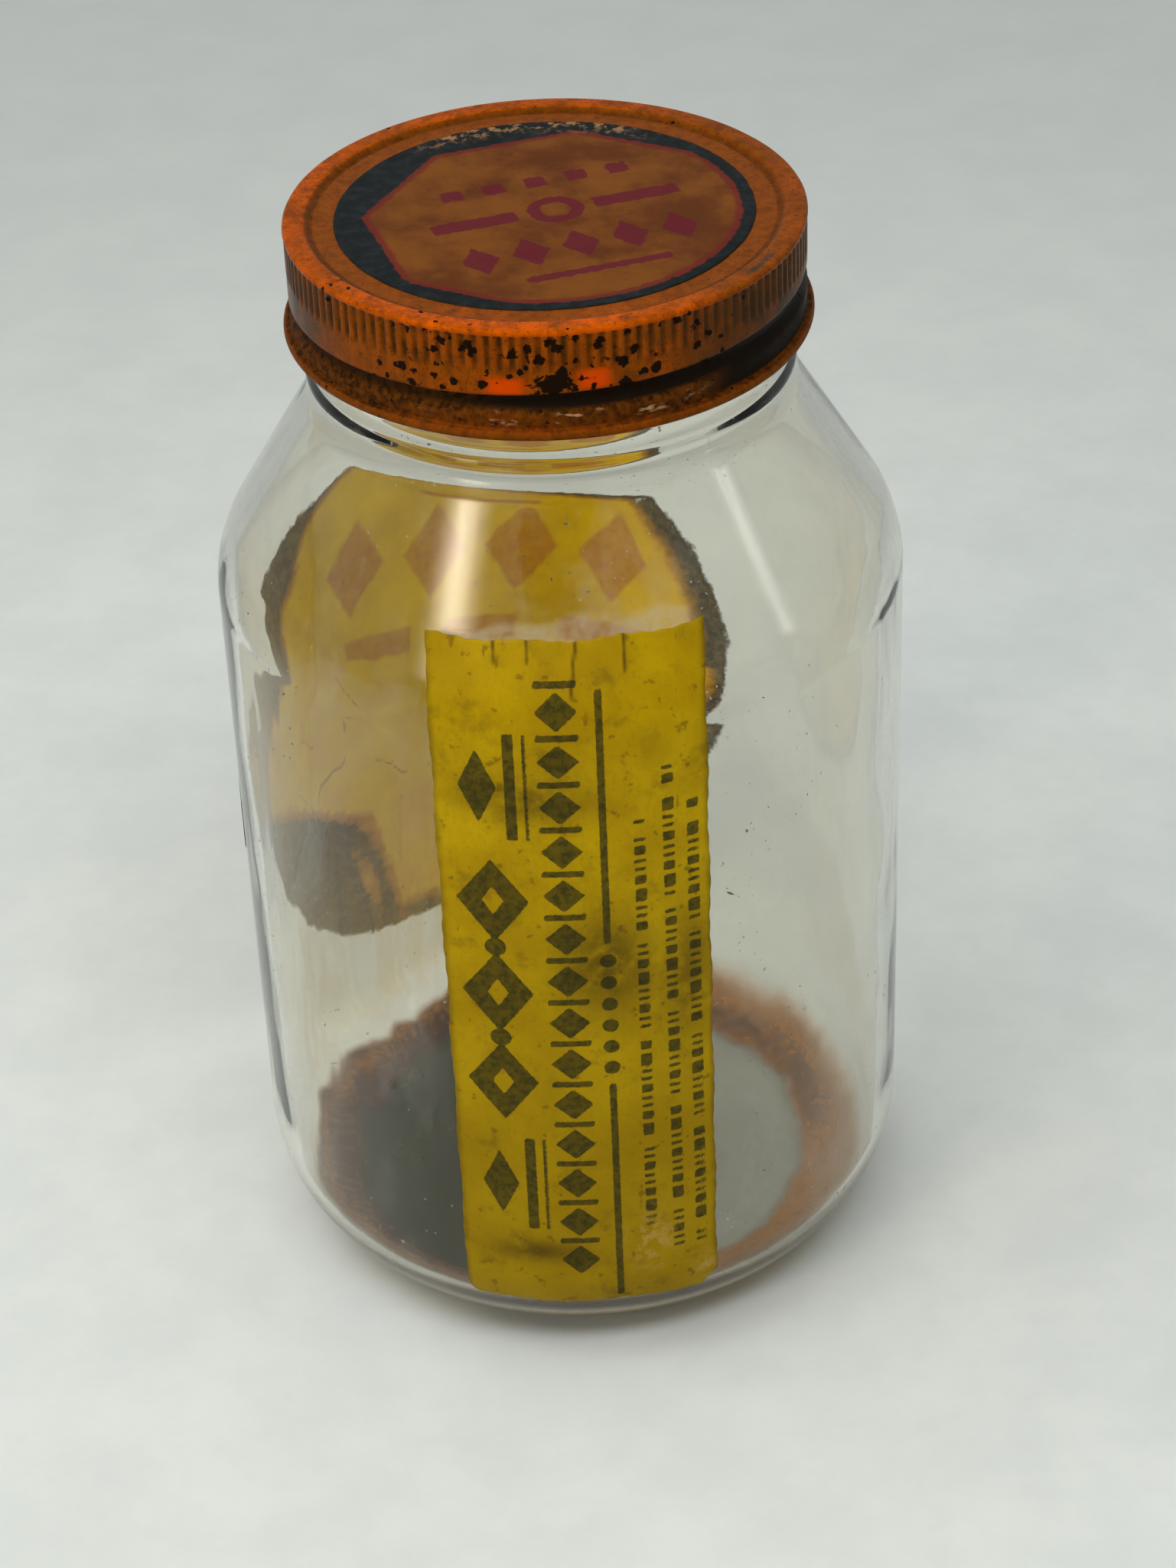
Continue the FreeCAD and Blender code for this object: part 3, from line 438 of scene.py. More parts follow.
def enamel_material():
    """Orange enamel on tinplate, rubbed, chipped to black, crusted with rust low down, with painted shade in
    its rolled thread and at the panel's seam.
    """
    tree = material_tree("worn_enamel")
    cloud = tree.noise(7.0, 6.0, 0.6)
    fine = tree.noise(0.9, 4.0, 0.6)
    streaks = tree.noise(1.6, 4.0, 0.6, place=tree.stretched(1.0, 1.0, 0.25))
    tone = tree.step(tree.sum(tree.field("tone"), tree.centred(cloud, 1.1)), 0.0, 1.0)
    tree.colour = tree.mix(tone, srgb(206, 86, 0), srgb(128, 64, 8))
    tree.coat(tree.step(streaks, 0.38, 0.68), srgb(92, 42, 6), 0.5)
    grime = tree.step(tree.noise(3.2, 7.0, 0.68, 0.3), 0.5, 0.72, 0.0, 0.7)
    tree.coat(grime, srgb(84, 46, 14))
    speckle = tree.step(tree.noise(0.5, 3.0, 0.6), 0.54, 0.7, 0.0, 0.65)
    tree.coat(speckle, srgb(70, 34, 6))
    tree.coat(tree.field("glow"), srgb(204, 66, 2))
    valley = tree.patchy("valley", tree.noise(3.0, 4.0), 0.35, 0.65, 0.45, 1.0)
    tree.coat(valley, srgb(44, 30, 8))
    dusty = tree.patchy("dusty", tree.noise(3.0, 5.0), 0.35, 0.6, 0.6, 1.0)
    tree.coat(dusty, tree.mix(cloud, srgb(48, 32, 17), srgb(76, 50, 30)))
    # Rust, with painted shade at the panel's seam and in the thread on the left
    crust = tree.patchy("crust", tree.noise(2.4, 6.0, 0.65), 0.24, 0.6, 0.75, 1.0)
    tree.coat(crust, tree.mix(tree.step(fine, 0.35, 0.65), srgb(36, 20, 8), srgb(88, 47, 10)))
    # Painted shade, near black, in the rolled thread and under it on the right
    sooty = tree.step(tree.sum(tree.field("soot"), tree.product(fine, 0.3)), 0.35, 0.75)
    tree.coat(sooty, srgb(20, 16, 13))
    bare = tree.step(tree.sum(tree.field("bare"), tree.product(tree.noise(2.0, 5.0, 0.6), 0.7)), 0.75, 0.95)
    tree.coat(bare, tree.mix(fine, srgb(48, 44, 42), srgb(96, 82, 70)))
    dashes = tree.noise(0.8, 3.0, 0.5, place=tree.stretched(0.4, 0.4, 1.4))
    clumps = tree.product(tree.step(tree.noise(5.0, 2.0), 0.46, 0.58), tree.step(dashes, 0.55, 0.64))
    flecks = tree.product(tree.field("flecks"), clumps)
    tree.coat(flecks, srgb(164, 126, 92))
    ragged = tree.centred(tree.noise(0.7, 3.0, 0.6), 0.7)
    where = tree.sum(tree.field("chips"), tree.centred(tree.noise(6.0, 3.0), 1.2))
    reach = tree.step(where, 0.1, 0.7, 0.06, 0.46)
    chips = tree.step(tree.difference(reach, tree.sum(tree.cells(2.1), ragged)), -0.03, 0.03)
    chips = tree.product(chips, tree.step(where, 0.1, 0.2))
    torn = tree.centred(tree.noise(1.6, 4.0, 0.6, 0.8), 4.5)
    scar = tree.step(tree.sum(tree.field("scar"), torn), 0.12, -0.12)
    chips = tree.larger(chips, scar)
    tree.coat(chips, srgb(24, 13, 8))
    dull = tree.larger(crust, chips)
    height = tree.sum(tree.product(fine, 0.35), tree.product(chips, -1.0))
    return tree.finish(tree.surface(
        base_color=tree.colour,
        metallic=tree.product(bare, 0.5),
        roughness=tree.sum(tree.step(cloud, 0.3, 0.7, 0.2, 0.36), tree.product(dull, 0.3)),
        specular=0.05,
        specular_tint=(1.0, 0.5, 0.06, 1.0),
        normal=tree.bump(height, 0.5, 0.12),
    ))


def lid_transfer_material():
    """An aged lacquer transfer: a slate ring, a maroon outline, and a worn brown field with maroon marks."""
    tree = material_tree("lid_transfer")
    ragged = tree.centred(tree.noise(1.2, 4.0), 1.2)
    cloud = tree.noise(9.0, 6.0, 0.6)
    scratches = tree.noise(1.0, 4.0, 0.6, place=tree.stretched(0.35, 2.2, 1.0))
    tree.colour = tree.mix(tree.step(cloud, 0.35, 0.65), srgb(116, 66, 16), srgb(88, 45, 15))
    tree.coat(tree.step(scratches, 0.55, 0.75), srgb(116, 40, 24), 0.35)
    marks = tree.step(tree.sum(tree.field("marks"), ragged), 0.12, -0.12)
    tree.coat(marks, srgb(92, 24, 34), 0.92)
    edge = tree.sum(tree.field("edge"), ragged)
    outline = tree.step(edge, -1.3, -0.5)
    tree.coat(outline, srgb(100, 30, 26), 0.85)
    slate = tree.mix(tree.step(tree.noise(2.0, 5.0), 0.4, 0.7), srgb(21, 25, 27), srgb(32, 37, 40))
    tree.coat(tree.step(edge, -0.1, 0.25), slate)
    worn = tree.patchy("worn", tree.noise(1.5, 5.0, 0.65), 0.5, 0.6)
    tree.coat(worn, srgb(150, 112, 74))
    return tree.finish(tree.surface(
        base_color=tree.colour,
        roughness=tree.step(cloud, 0.3, 0.7, 0.3, 0.46),
        specular=0.05,
        normal=tree.bump(tree.noise(0.7, 4.0), 0.3, 0.06),
    ))


def label_material():
    """Yellow paper printed in dark olive ink, with stains, a smear, creases and rubbed spots."""
    tree = material_tree("label_paper")
    cloud = tree.noise(14.0, 6.0, 0.6)
    fibres = tree.noise(0.6, 5.0, 0.65, place=tree.stretched(1.0, 1.0, 0.45))
    tree.colour = tree.mix(tree.step(cloud, 0.32, 0.68), srgb(190, 158, 2), srgb(164, 132, 2))
    tree.coat(tree.field("grime"), srgb(118, 92, 4), 0.55)
    tree.coat(tree.step(fibres, 0.45, 0.8, 0.0, 0.35), srgb(140, 104, 10))
    dirt = tree.step(tree.noise(5.0, 8.0, 0.7), 0.52, 0.72, 0.0, 0.6)
    tree.coat(dirt, srgb(112, 88, 12))
    freckles = tree.step(tree.noise(1.7, 3.0, 0.5), 0.63, 0.72)
    tree.coat(freckles, srgb(104, 74, 12), 0.6)
    stain = tree.patchy("stain", tree.noise(4.0, 6.0, 0.65), 0.22, 0.58, 0.2, 1.0)
    tree.coat(stain, srgb(80, 60, 10))
    ragged = tree.centred(tree.noise(0.5, 3.0), 0.35)
    ink = tree.step(tree.sum(tree.field("ink"), ragged), 0.09, -0.07)
    worn = tree.step(tree.noise(1.1, 5.0, 0.7), 0.35, 0.6, 0.95, 0.78)
    worn = tree.product(worn, tree.step(tree.field("face"), 0.0, 1.0, 0.15, 1.0))
    tree.coat(tree.product(ink, worn), srgb(46, 46, 18))
    rubbed = tree.patchy("rubbed", tree.noise(1.8, 5.0, 0.65), 0.45, 0.58)
    tree.coat(rubbed, srgb(178, 142, 70), 0.75)
    return tree.finish(tree.surface(
        base_color=tree.colour,
        roughness=tree.step(cloud, 0.3, 0.7, 0.42, 0.55),
        specular=0.05,
        normal=tree.bump(fibres, 0.25, 0.08),
    ))


def glue_material():
    """A thin whitish film of old paste."""
    tree = material_tree("old_paste")
    streaks = tree.noise(3.0, 5.0, 0.6, place=tree.stretched(1.0, 1.0, 0.6))
    film = tree.patchy("film", streaks, 0.25, 0.7, 0.15, 1.0)
    thin = tree.product(film, 0.3)
    return tree.finish(tree.surface(base_color=srgb(190, 178, 150), roughness=0.5, alpha=thin))


def jar_transfer_material():
    """An aged transfer: mustard field, red-brown marks, mottled border, faded and scorched on one side.

    Its gummed face, which shows through the glass, is painted brighter than its outer face, as painted light
    for light shining through the film.
    """
    tree = material_tree("jar_transfer")
    cloud = tree.noise(13.0, 6.0, 0.6)
    fine = tree.noise(1.5, 6.0, 0.7)
    ragged = tree.centred(tree.noise(1.8, 6.0, 0.7), 3.0)
    tree.colour = tree.mix(tree.step(cloud, 0.32, 0.68), srgb(212, 176, 0), srgb(188, 152, 0))
    marks = tree.step(tree.sum(tree.field("marks"), tree.product(ragged, 0.4)), 0.5, -0.5)
    tree.coat(tree.product(marks, tree.step(fine, 0.3, 0.6, 0.75, 0.5)), srgb(162, 90, 34))
    faded = tree.step(tree.sum(tree.field("faded"), ragged), -1.0, 1.0)
    pale = tree.mix(tree.step(cloud, 0.35, 0.65), srgb(208, 180, 64), srgb(202, 162, 68))
    tree.coat(faded, pale, 0.92)
    crease = tree.step(tree.field("crease"), 0.5, 0.1)
    tree.coat(crease, srgb(140, 92, 44), 0.6)
    edge = tree.sum(tree.field("edge"), ragged)
    tree.coat(tree.step(edge, -2.4, -0.4), srgb(150, 88, 30), 0.6)
    mottle = tree.mix(tree.step(fine, 0.36, 0.66), srgb(54, 46, 27), srgb(94, 83, 52))
    tree.coat(tree.step(edge, -1.6, 1.2), mottle)
    burn = tree.sum(tree.field("burn"), tree.product(ragged, 1.2))
    tree.coat(tree.step(burn, -2.2, -0.4), srgb(150, 86, 34), 0.7)
    tree.coat(tree.step(burn, -0.6, 0.8), mottle)
    # Painted light: the gummed face is brightened, for light shining through the film
    tree.coat(tree.field("gummed"), tree.colour, 0.75, "ADD")
    gone = tree.step(tree.sum(tree.field("rim"), tree.product(ragged, 0.8)), -1.6, -0.6)
    pinholes = tree.product(tree.step(edge, 0.5, 3.0), tree.step(tree.noise(0.9, 4.0, 0.6), 0.62, 0.7))
    hidden = tree.larger(gone, pinholes)
    return tree.finish(tree.surface(
        base_color=tree.colour,
        roughness=tree.step(cloud, 0.3, 0.7, 0.35, 0.5),
        specular=0.06,
        alpha=tree.difference(1.0, hidden),
        normal=tree.bump(fine, 0.3, 0.06),
    ))


def dried_oil_material():
    """Varnish-like amber oil: a brown ring, thin and feathered at its edges, and yellow runs above it."""
    tree = material_tree("dried_oil")
    cloud = tree.noise(5.0, 6.0, 0.62)
    drips = tree.noise(3.0, 3.0, 0.5, place=tree.stretched(1.0, 1.0, 0.2))
    smoke = tree.noise(1.4, 5.0, 0.65)
    body = tree.patchy("body", cloud, 0.25, 0.6, 0.8, 1.0)
    deep = tree.sum(tree.field("deep"), tree.centred(smoke, 1.3))
    tree.colour = tree.mix(tree.step(deep, 0.1, 0.9), srgb(156, 102, 0), srgb(68, 38, 0))
    thin = tree.product(tree.step(body, 0.6, 0.05), tree.field("fringe"))
    tree.coat(thin, srgb(198, 138, 6))
    runs = tree.patchy("runs", drips, 0.3, 0.7, 0.4, 1.0)
    tree.coat(tree.patchy("runs", body, 0.25, 0.0), srgb(255, 214, 4))
    return tree.finish(tree.surface(
        base_color=tree.colour,
        roughness=tree.step(cloud, 0.3, 0.7, 0.3, 0.5),
        specular=0.05,
        alpha=tree.larger(tree.step(body, 0.0, 0.9, 0.0, 0.96), tree.product(runs, 0.17)),
        normal=tree.bump(cloud, 0.2, 0.2),
    ))


def oil_film_material():
    """A smoky film of old oil on the floor of the jar."""
    tree = material_tree("oil_film")
    cloud = tree.noise(11.0, 6.0, 0.6)
    film = tree.patchy("film", cloud, 0.25, 0.75, 0.85, 1.06)
    return tree.finish(tree.surface(
        base_color=tree.mix(cloud, srgb(30, 32, 12), srgb(56, 57, 28)),
        roughness=tree.step(cloud, 0.3, 0.7, 0.25, 0.45),
        specular=0.1,
        alpha=film,
    ))


def board_material():
    """Grey-brown pulpboard, with fibres."""
    tree = material_tree("pulpboard")
    fibres = tree.noise(0.5, 6.0, 0.7, place=tree.stretched(1.0, 0.3, 1.0))
    cloud = tree.noise(8.0, 5.0)
    tree.colour = tree.mix(tree.step(fibres, 0.35, 0.7), srgb(150, 126, 94), srgb(186, 162, 126))
    tree.coat(tree.step(cloud, 0.55, 0.8, 0.0, 0.5), srgb(112, 86, 54))
    rough = tree.bump(fibres, 0.4, 0.1)
    return tree.finish(tree.surface(base_color=tree.colour, roughness=0.85, normal=rough))


def facing_material():
    """Waxed cream paper, ringed with oil where it meets the lip of the glass."""
    tree = material_tree("waxed_paper")
    cloud = tree.noise(7.0, 6.0, 0.6)
    ring = tree.patchy("ring", cloud, 0.3, 0.6, 0.5, 1.0)
    tree.colour = tree.mix(tree.step(cloud, 0.35, 0.7), srgb(214, 200, 160), srgb(190, 168, 120))
    tree.coat(ring, srgb(120, 78, 30), 0.8)
    return tree.finish(tree.surface(
        base_color=tree.colour,
        roughness=tree.step(cloud, 0.3, 0.7, 0.3, 0.5),
        normal=tree.bump(tree.noise(0.8, 4.0), 0.2, 0.05),
    ))


def inner_profile():
    """Half of the inside of the glass, from the middle of the floor to the mouth."""
    radius = BODY_RADIUS - GLASS_WALL
    bore = FINISH_RADIUS - FINISH_WALL
    heel = (radius - INNER_HEEL_RADIUS, FLOOR_THICKNESS + INNER_HEEL_RADIUS)
    shoulder = (BODY_RADIUS - SHOULDER_RADIUS, SHOULDER_START)
    round_radius = SHOULDER_RADIUS - GLASS_WALL
    foot = (shoulder[0] + round_radius * math.cos(SLOPE), shoulder[1] + round_radius * math.sin(SLOPE))
    rise = (foot[0] - bore - BORE_FILLET * (1 - math.cos(SLOPE))) / math.tan(SLOPE)
    fillet = (bore + BORE_FILLET, foot[1] + rise + BORE_FILLET * math.sin(SLOPE))
    lip = (bore + LIP_ROUND, GLASS_TOP - LIP_ROUND)
    floor = [(r, FLOOR_THICKNESS + FLOOR_DOME * (1 - (r / heel[0]) ** 2)) for r in np.linspace(0, heel[0], 9)]
    return chain(
        floor,
        arc(heel, INNER_HEEL_RADIUS, -90, 0, 20),
        line((radius, heel[1]), (radius, SHOULDER_START), 34),
        arc(shoulder, round_radius, 0, SHOULDER_SLOPE, 12),
        arc(fillet, BORE_FILLET, 180 + SHOULDER_SLOPE, 180, 10),
        line((bore, fillet[1]), (bore, lip[1]), 40),
        arc(lip, LIP_ROUND, 180, 90, 5),
    )


def outer_profile():
    """Half of the outside of the glass, from the lip down to the middle of the base."""
    heel = (BODY_RADIUS - HEEL_RADIUS, HEEL_RADIUS)
    shoulder = (BODY_RADIUS - SHOULDER_RADIUS, SHOULDER_START)
    foot = GLASS_TOP - NECK_LENGTH
    fillet = (FINISH_RADIUS + NECK_FILLET, foot)
    lip = (FINISH_RADIUS - LIP_ROUND, GLASS_TOP - LIP_ROUND)
    edge = heel[0] - BEARING_WIDTH
    dome = [(r, PUSH_UP * (1 - (r / edge) ** 2)) for r in np.linspace(edge, 0, 9)]
    return chain(
        arc(lip, LIP_ROUND, 90, 0, 5),
        line((FINISH_RADIUS, lip[1]), (FINISH_RADIUS, foot), 44),
        arc(fillet, NECK_FILLET, 180, 180 + SHOULDER_SLOPE, 10),
        arc(shoulder, SHOULDER_RADIUS, SHOULDER_SLOPE, 0, 14),
        line((BODY_RADIUS, SHOULDER_START), (BODY_RADIUS, HEEL_RADIUS), 34),
        arc(heel, HEEL_RADIUS, 0, -90, 24),
        line((heel[0], 0), (edge, 0), 2),
        dome,
    )


def thread_rise(height, bearing):
    """How far the glass thread stands out of the neck."""
    foot = GLASS_TOP - THREAD_DROP - THREAD_LEAD * THREAD_TURNS
    run_out = 0.05
    rise = np.zeros(np.broadcast(height, bearing).shape)
    for turn in range(math.ceil(THREAD_TURNS) + 1):
        along = ((bearing - THREAD_START) % 360) / 360 + turn
        middle = foot + THREAD_LEAD * along
        ends = smoothstep(0.0, run_out, along) * (1 - smoothstep(THREAD_TURNS - run_out, THREAD_TURNS, along))
        rise = np.maximum(rise, ends * (1 - smoothstep(THREAD_CREST, THREAD_FOOT, np.abs(height - middle))))
    return THREAD_HEIGHT * rise


def ring_rise(height):
    """How far the rounded ring under the lid stands out of the neck."""
    away = np.abs(height - GLASS_TOP + RING_DROP)
    return RING_HEIGHT * (1 - smoothstep(RING_CREST, RING_FOOT, away))


def make_glass():
    """The glass: one closed shell, whose inside is a little uneven, with faint rings inside the neck."""
    columns = 192
    inner, outer = np.array(inner_profile()), np.array(outer_profile())
    profile = np.vstack([inner, outer])
    inside = (np.arange(len(profile)) < len(inner))[:, None]
    bearing = bearings(columns)
    radius, height = profile[:, :1], profile[:, 1:]
    on_neck = ~inside & (height > GLASS_TOP - NECK_LENGTH) & (radius > FINISH_RADIUS - LIP_ROUND)
    near_neck = ~inside & (height > GLASS_TOP - NECK_LENGTH - 2) & (radius > FINISH_RADIUS - LIP_ROUND)
    radius = radius + np.where(near_neck, ring_rise(height), 0.0)
    radius = radius + np.where(on_neck, thread_rise(height, bearing), 0.0)
    points = around(radius, height, bearing)
    # The inside sways to both sides of its size, and the outside only lies within it
    stretched = points * (1.0, 1.0, 0.35)
    sway = 0.22 * wobble(stretched, 17.0, 1) + 0.05 * wobble(stretched, 6.0, 2)
    skin = -0.04 - 0.04 * wobble(stretched, 12.0, 3)
    wall = plateau(height, HEEL_RADIUS, SHOULDER_START + 10, 12)
    radius = radius + np.where(inside, sway, skin) * wall
    neck = plateau(height, GLASS_TOP - NECK_LENGTH - 2, GLASS_TOP - 6, 3) * inside
    radius = radius + NECK_WAVE * np.sin(2 * math.pi * height / NECK_WAVE_PITCH) * neck
    # Old oil stains the front of the foot, most of all on the right; the bands are also painted shade, the
    # grime band for the shadowed floor seen through the foot and the amber band for the dark contact shade
    # under it
    low_front = (0.75 + 0.25 * plateau(bearing, -15, 75, 25)) * plateau(bearing, -80, 100, 25) * ~inside
    grime = low_front * (0.9 * plateau(height, 10.0, 14.0, 2.0) + 0.25 * plateau(height, 14.5, 18.0, 2.0))
    amber = low_front * plateau(height, 1.6, 9.6, 1.2)
    points = around(radius, height, bearing)
    piece = turned("jar_glass", points, glass_material(), grime=grime, amber=amber)
    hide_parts("glass_jar")
    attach(piece, "jar")


def groove_share(height, bearing):
    """How deep the rolled thread is pressed into the skirt, from 0 to 1, with a longer lower flank."""
    along = (bearing - GROOVE_START) % 360
    middle = GROOVE_FOOT + THREAD_LEAD * along / 360
    ends = smoothstep(0, GROOVE_RUN_OUT, along)
    ends = ends * (1 - smoothstep(GROOVE_SWEEP - GROOVE_RUN_OUT, GROOVE_SWEEP, along))
    upper = 1 - smoothstep(0.45, 1.25, height - middle)
    lower = smoothstep(-2.3, -0.45, height - middle)
    return ends * upper * lower * smoothstep(0.6, 1.4, height)


def rib_share(bearing):
    """How far a rib of the knurl stands out of the valleys beside it, from 0 to 1."""
    phase = np.abs(((bearing / 360 * RIB_COUNT) % 1) - 0.5) * 2
    return 1 - smoothstep(0.3, 0.85, phase)


def lid_profile():
    """The lid's outer face, from the middle of the panel to the curl: radius and height."""
    panel = SKIRT_HEIGHT - PANEL_RECESS
    head = SKIRT_HEIGHT - RIM_ROUND
    crown = RIM_RADIUS - RIM_ROUND
    step = [(PANEL_RADIUS - 0.9 + t, panel + PANEL_RECESS * float(smoothstep(0.5, 1.9, t)))
            for t in np.linspace(0, 2.1, 9)]
    return chain(
        [(r, panel) for r in (0, 6, 12, 18, 23, 27, 29.5)],
        step,
        line(step[-1], (crown, SKIRT_HEIGHT), 3),
        arc((crown, head), RIM_ROUND, 90, 0, 8),
        line((RIM_RADIUS, head), (BAND_RADIUS, KNURL_TOP), 2),
        line((BAND_RADIUS, KNURL_TOP), (BAND_RADIUS, KNURL_FOOT - KNURL_FADE), 16),
        line((BAND_RADIUS, KNURL_FOOT - KNURL_FADE), (BAND_RADIUS, CURL_RADIUS), 28),
        arc((BAND_RADIUS + CURL_RADIUS - LID_SHEET, 0), CURL_RADIUS, 100, -180, 16),
    )


def lid_lining():
    """The lid's inner face, from the curl up to the middle of the panel."""
    panel = SKIRT_HEIGHT - PANEL_RECESS - LID_SHEET
    crown = RIM_RADIUS - RIM_ROUND
    head = SKIRT_HEIGHT - RIM_ROUND
    return chain(
        line((BAND_RADIUS - LID_SHEET, 0.3), (BAND_RADIUS - LID_SHEET, BAND_TOP), 20),
        line((KNURL_RADIUS - LID_SHEET, KNURL_FOOT), (KNURL_RADIUS - LID_SHEET, KNURL_TOP), 2),
        arc((crown, head), RIM_ROUND - LID_SHEET, 0, 90, 4),
        line((PANEL_RADIUS + 1, SKIRT_HEIGHT - LID_SHEET), (PANEL_RADIUS, panel), 3),
        [(r, panel) for r in (24, 12, 0)],
    )


def make_lid():
    """The stamped lid, with its ribs, rolled thread and curl as real shapes, and its wear as fields."""
    columns = RIB_COUNT * 6
    face, lining = np.array(lid_profile()), np.array(lid_lining())
    profile = np.vstack([face, lining])
    outside = (np.arange(len(profile)) < len(face))[:, None]
    bearing = bearings(columns)
    radius, height = profile[:, :1], profile[:, 1:]
    skirt = (height > CURL_RADIUS * 0.8) & (height < BAND_TOP + 0.4)
    skirt = skirt & (radius > BAND_RADIUS - LID_SHEET - 0.1)
    grip = smoothstep(KNURL_FOOT - KNURL_FADE, KNURL_FOOT, height) * (height < KNURL_TOP + 0.01)
    grip = grip * (outside & (radius > BAND_RADIUS - 0.01))
    ribs = rib_share(bearing)
    pressed = groove_share(height, bearing) * skirt
    shaped = radius - RIB_RISE * (1 - ribs) * grip - GROOVE_DEPTH * pressed
    points = around(shaped, height, bearing)
    on_rim = plateau(radius, PANEL_RADIUS - 1, RIM_RADIUS + 1, 1.0) * (height > KNURL_TOP + 0.1)
    dents = 0.05 * wobble(points, 5.0, 4) * on_rim
    points = around(shaped + np.minimum(dents, 0), height + LID_BASE, bearing)

    # Parts of the lid that wear or are shaded in their own way, each from 0 to 1
    side = outside * (radius > PANEL_RADIUS)
    top = outside * (height > KNURL_TOP + 0.3)
    front = plateau(bearing, -40, 40, 15)
    right = smoothstep(12, 48, bearing) * (1 - smoothstep(130, 170, bearing))
    left = plateau(bearing, -110, -58, 12)
    curl = smoothstep(BAND_RADIUS + 0.55, BAND_RADIUS + 0.8, radius) * (height < 1.0)
    low = (1 - smoothstep(3.8, 5.2, height)) * (1 - curl)
    # The seam: a ring of painted shade where the rim steps down to the panel
    panel_step_shade = plateau(radius, PANEL_RADIUS - 0.7, PANEL_RADIUS + 0.3, 0.4) * top
    band = plateau(height, 1.0, 9.4, 0.4) * side

    # Browner paint, dirt between the ribs, dust, rust along the foot, and painted shade along the panel's
    # seam
    tone = np.where(radius < PANEL_RADIUS + 0.6, 0.8, 0.25) + 0.25 * (1 - front)
    tone = tone + 0.45 * grip + 0.55 * band + 0.6 * curl + 0.35 * right * top
    valley = grip * (1 - ribs)
    dusty = np.maximum(left, right) * plateau(height, 4.5, 14.1, 0.6) * side
    # Rust along the foot and on the curl, and painted shade at the panel's seam
    crust = low * side * (1 - 0.2 * plateau(bearing, -30, 14, 12)) + 0.4 * curl + 0.6 * panel_step_shade
    # Rust and painted shade in the rolled thread, on the left
    crust = crust + 0.5 * pressed * (1 - right)
    # Painted shade in the rolled thread, and under it on the right
    soot = pressed * (0.4 + 0.6 * smoothstep(-30, 25, bearing) * (1 - smoothstep(120, 170, bearing)))
    thread_line = GROOVE_FOOT + THREAD_LEAD * (bearing - GROOVE_START) / 360
    under_band = plateau(height, 0.9, thread_line + 1.2, 0.6) * side * (1 - curl)
    soot = np.maximum(soot, 0.62 * plateau(bearing, 34, 150, 14) * under_band)
    # Bare tin on the right, in a spot on the left, and along an arc of the rim
    bare = plateau(bearing, 60, 150, 14) * plateau(height, 7.0, 14.2, 0.8) * side * 0.5
    bare = np.maximum(bare, 0.7 * blob(bearing, height, -61, 7.4, 4.0, 1.1) * side)
    bare = np.maximum(bare, 0.54 * plateau(bearing, 42, 70, 12) * plateau(radius, 33.2, 35.0, 0.8) * top)
    # Pale flecks on the foot, black chips mostly in front, one large scar, and bright paint beside it
    flecks = side * plateau(bearing, -24, 30, 10) * plateau(height, 1.4, 3.0, 0.4)
    chips = side * (0.12 + 0.34 * front * plateau(height, 4.0, 14.6, 1.0))
    across = np.radians(bearing) * BAND_RADIUS
    scar = np.minimum(
        lozenge(across, height, 0.2, 7.2, 3.0, 1.7),
        lozenge(across, height, 1.2, 7.8, 3.4, 0.9),
    )
    scar = np.clip(np.where(side, scar, 5.0), -1, 5)
    glow = np.maximum(
        blob(across, height, -6.2, 6.9, 2.6, 1.3, power=4),
        blob(across, height, 5.4, 7.6, 2.2, 1.5, power=4),
    )
    piece = turned(
        "lid_shell", points, enamel_material(), tone=tone, valley=valley, dusty=dusty, crust=crust, soot=soot,
        bare=bare, flecks=flecks, chips=chips, scar=scar, glow=glow * side,
    )
    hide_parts("screw_lid")
    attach(piece, "lid")


def disc_rows(radii, top, bottom):
    """Rows of a closed disc: up over its top from the middle to the edge, and back underneath."""
    radii = np.asarray(radii)
    heights = np.concatenate([np.full(len(radii), top), np.full(len(radii), bottom)])
    return np.concatenate([radii, radii[::-1]])[:, None], heights[:, None]


def make_lid_decal():
    """The round transfer on the panel: an eight-sided field with rows of bars and lozenges."""
    columns = 240
    radius, height = disc_rows(np.linspace(0, LID_DECAL_RADIUS, 72), DECAL_FILM, 0.0)
    bearing = bearings(columns)
    ragged = 0.12 * wobble(around(radius, height, bearing), 2.5, 5)
    radius = radius * (1 + np.where(radius > LID_DECAL_RADIUS - 0.6, np.minimum(ragged, 0) / 20, 0))
    points = around(radius, height + LID_TOP - PANEL_RECESS, bearing)
    x, y = points[..., 0] - 2.2, points[..., 1] + 1.8
    turn = math.radians(17)
    x, y = x * math.cos(turn) + y * math.sin(turn), y * math.cos(turn) - x * math.sin(turn)
    edge = np.maximum(np.maximum(np.abs(x), np.abs(y)), (np.abs(x) + np.abs(y)) / math.sqrt(2)) - 25.0
    edge = np.maximum(edge, np.hypot(points[..., 0] - 0.4, points[..., 1] + 0.3) - 26.3)
    shapes = [np.abs(spot(x, y, 0, 2.4, 3.0)) - 0.9, block(x, y, 0, -16.2, 10.0, 0.8)]
    shapes += row(lozenge, x, y, (-14, -7, 0, 7, 14), -8.5, 2.6, 4.2)
    shapes += row(block, x, y, (-11.9, -5.95, 0, 5.95, 11.9), 11.5, 1.5, 1.5)
    shapes += row(block, x, y, (-11.5, 11.5), 2.4, 6.0, 1.5)
    marks = joined(shapes, 3)
    worn = plateau(bearing % 360, 150, 215, 10) * smoothstep(24, 28, radius)
    piece = turned("lid_transfer", points, lid_transfer_material(), edge=edge, marks=marks, worn=worn)
    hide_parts("lid_decal")
    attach(piece, "lid")


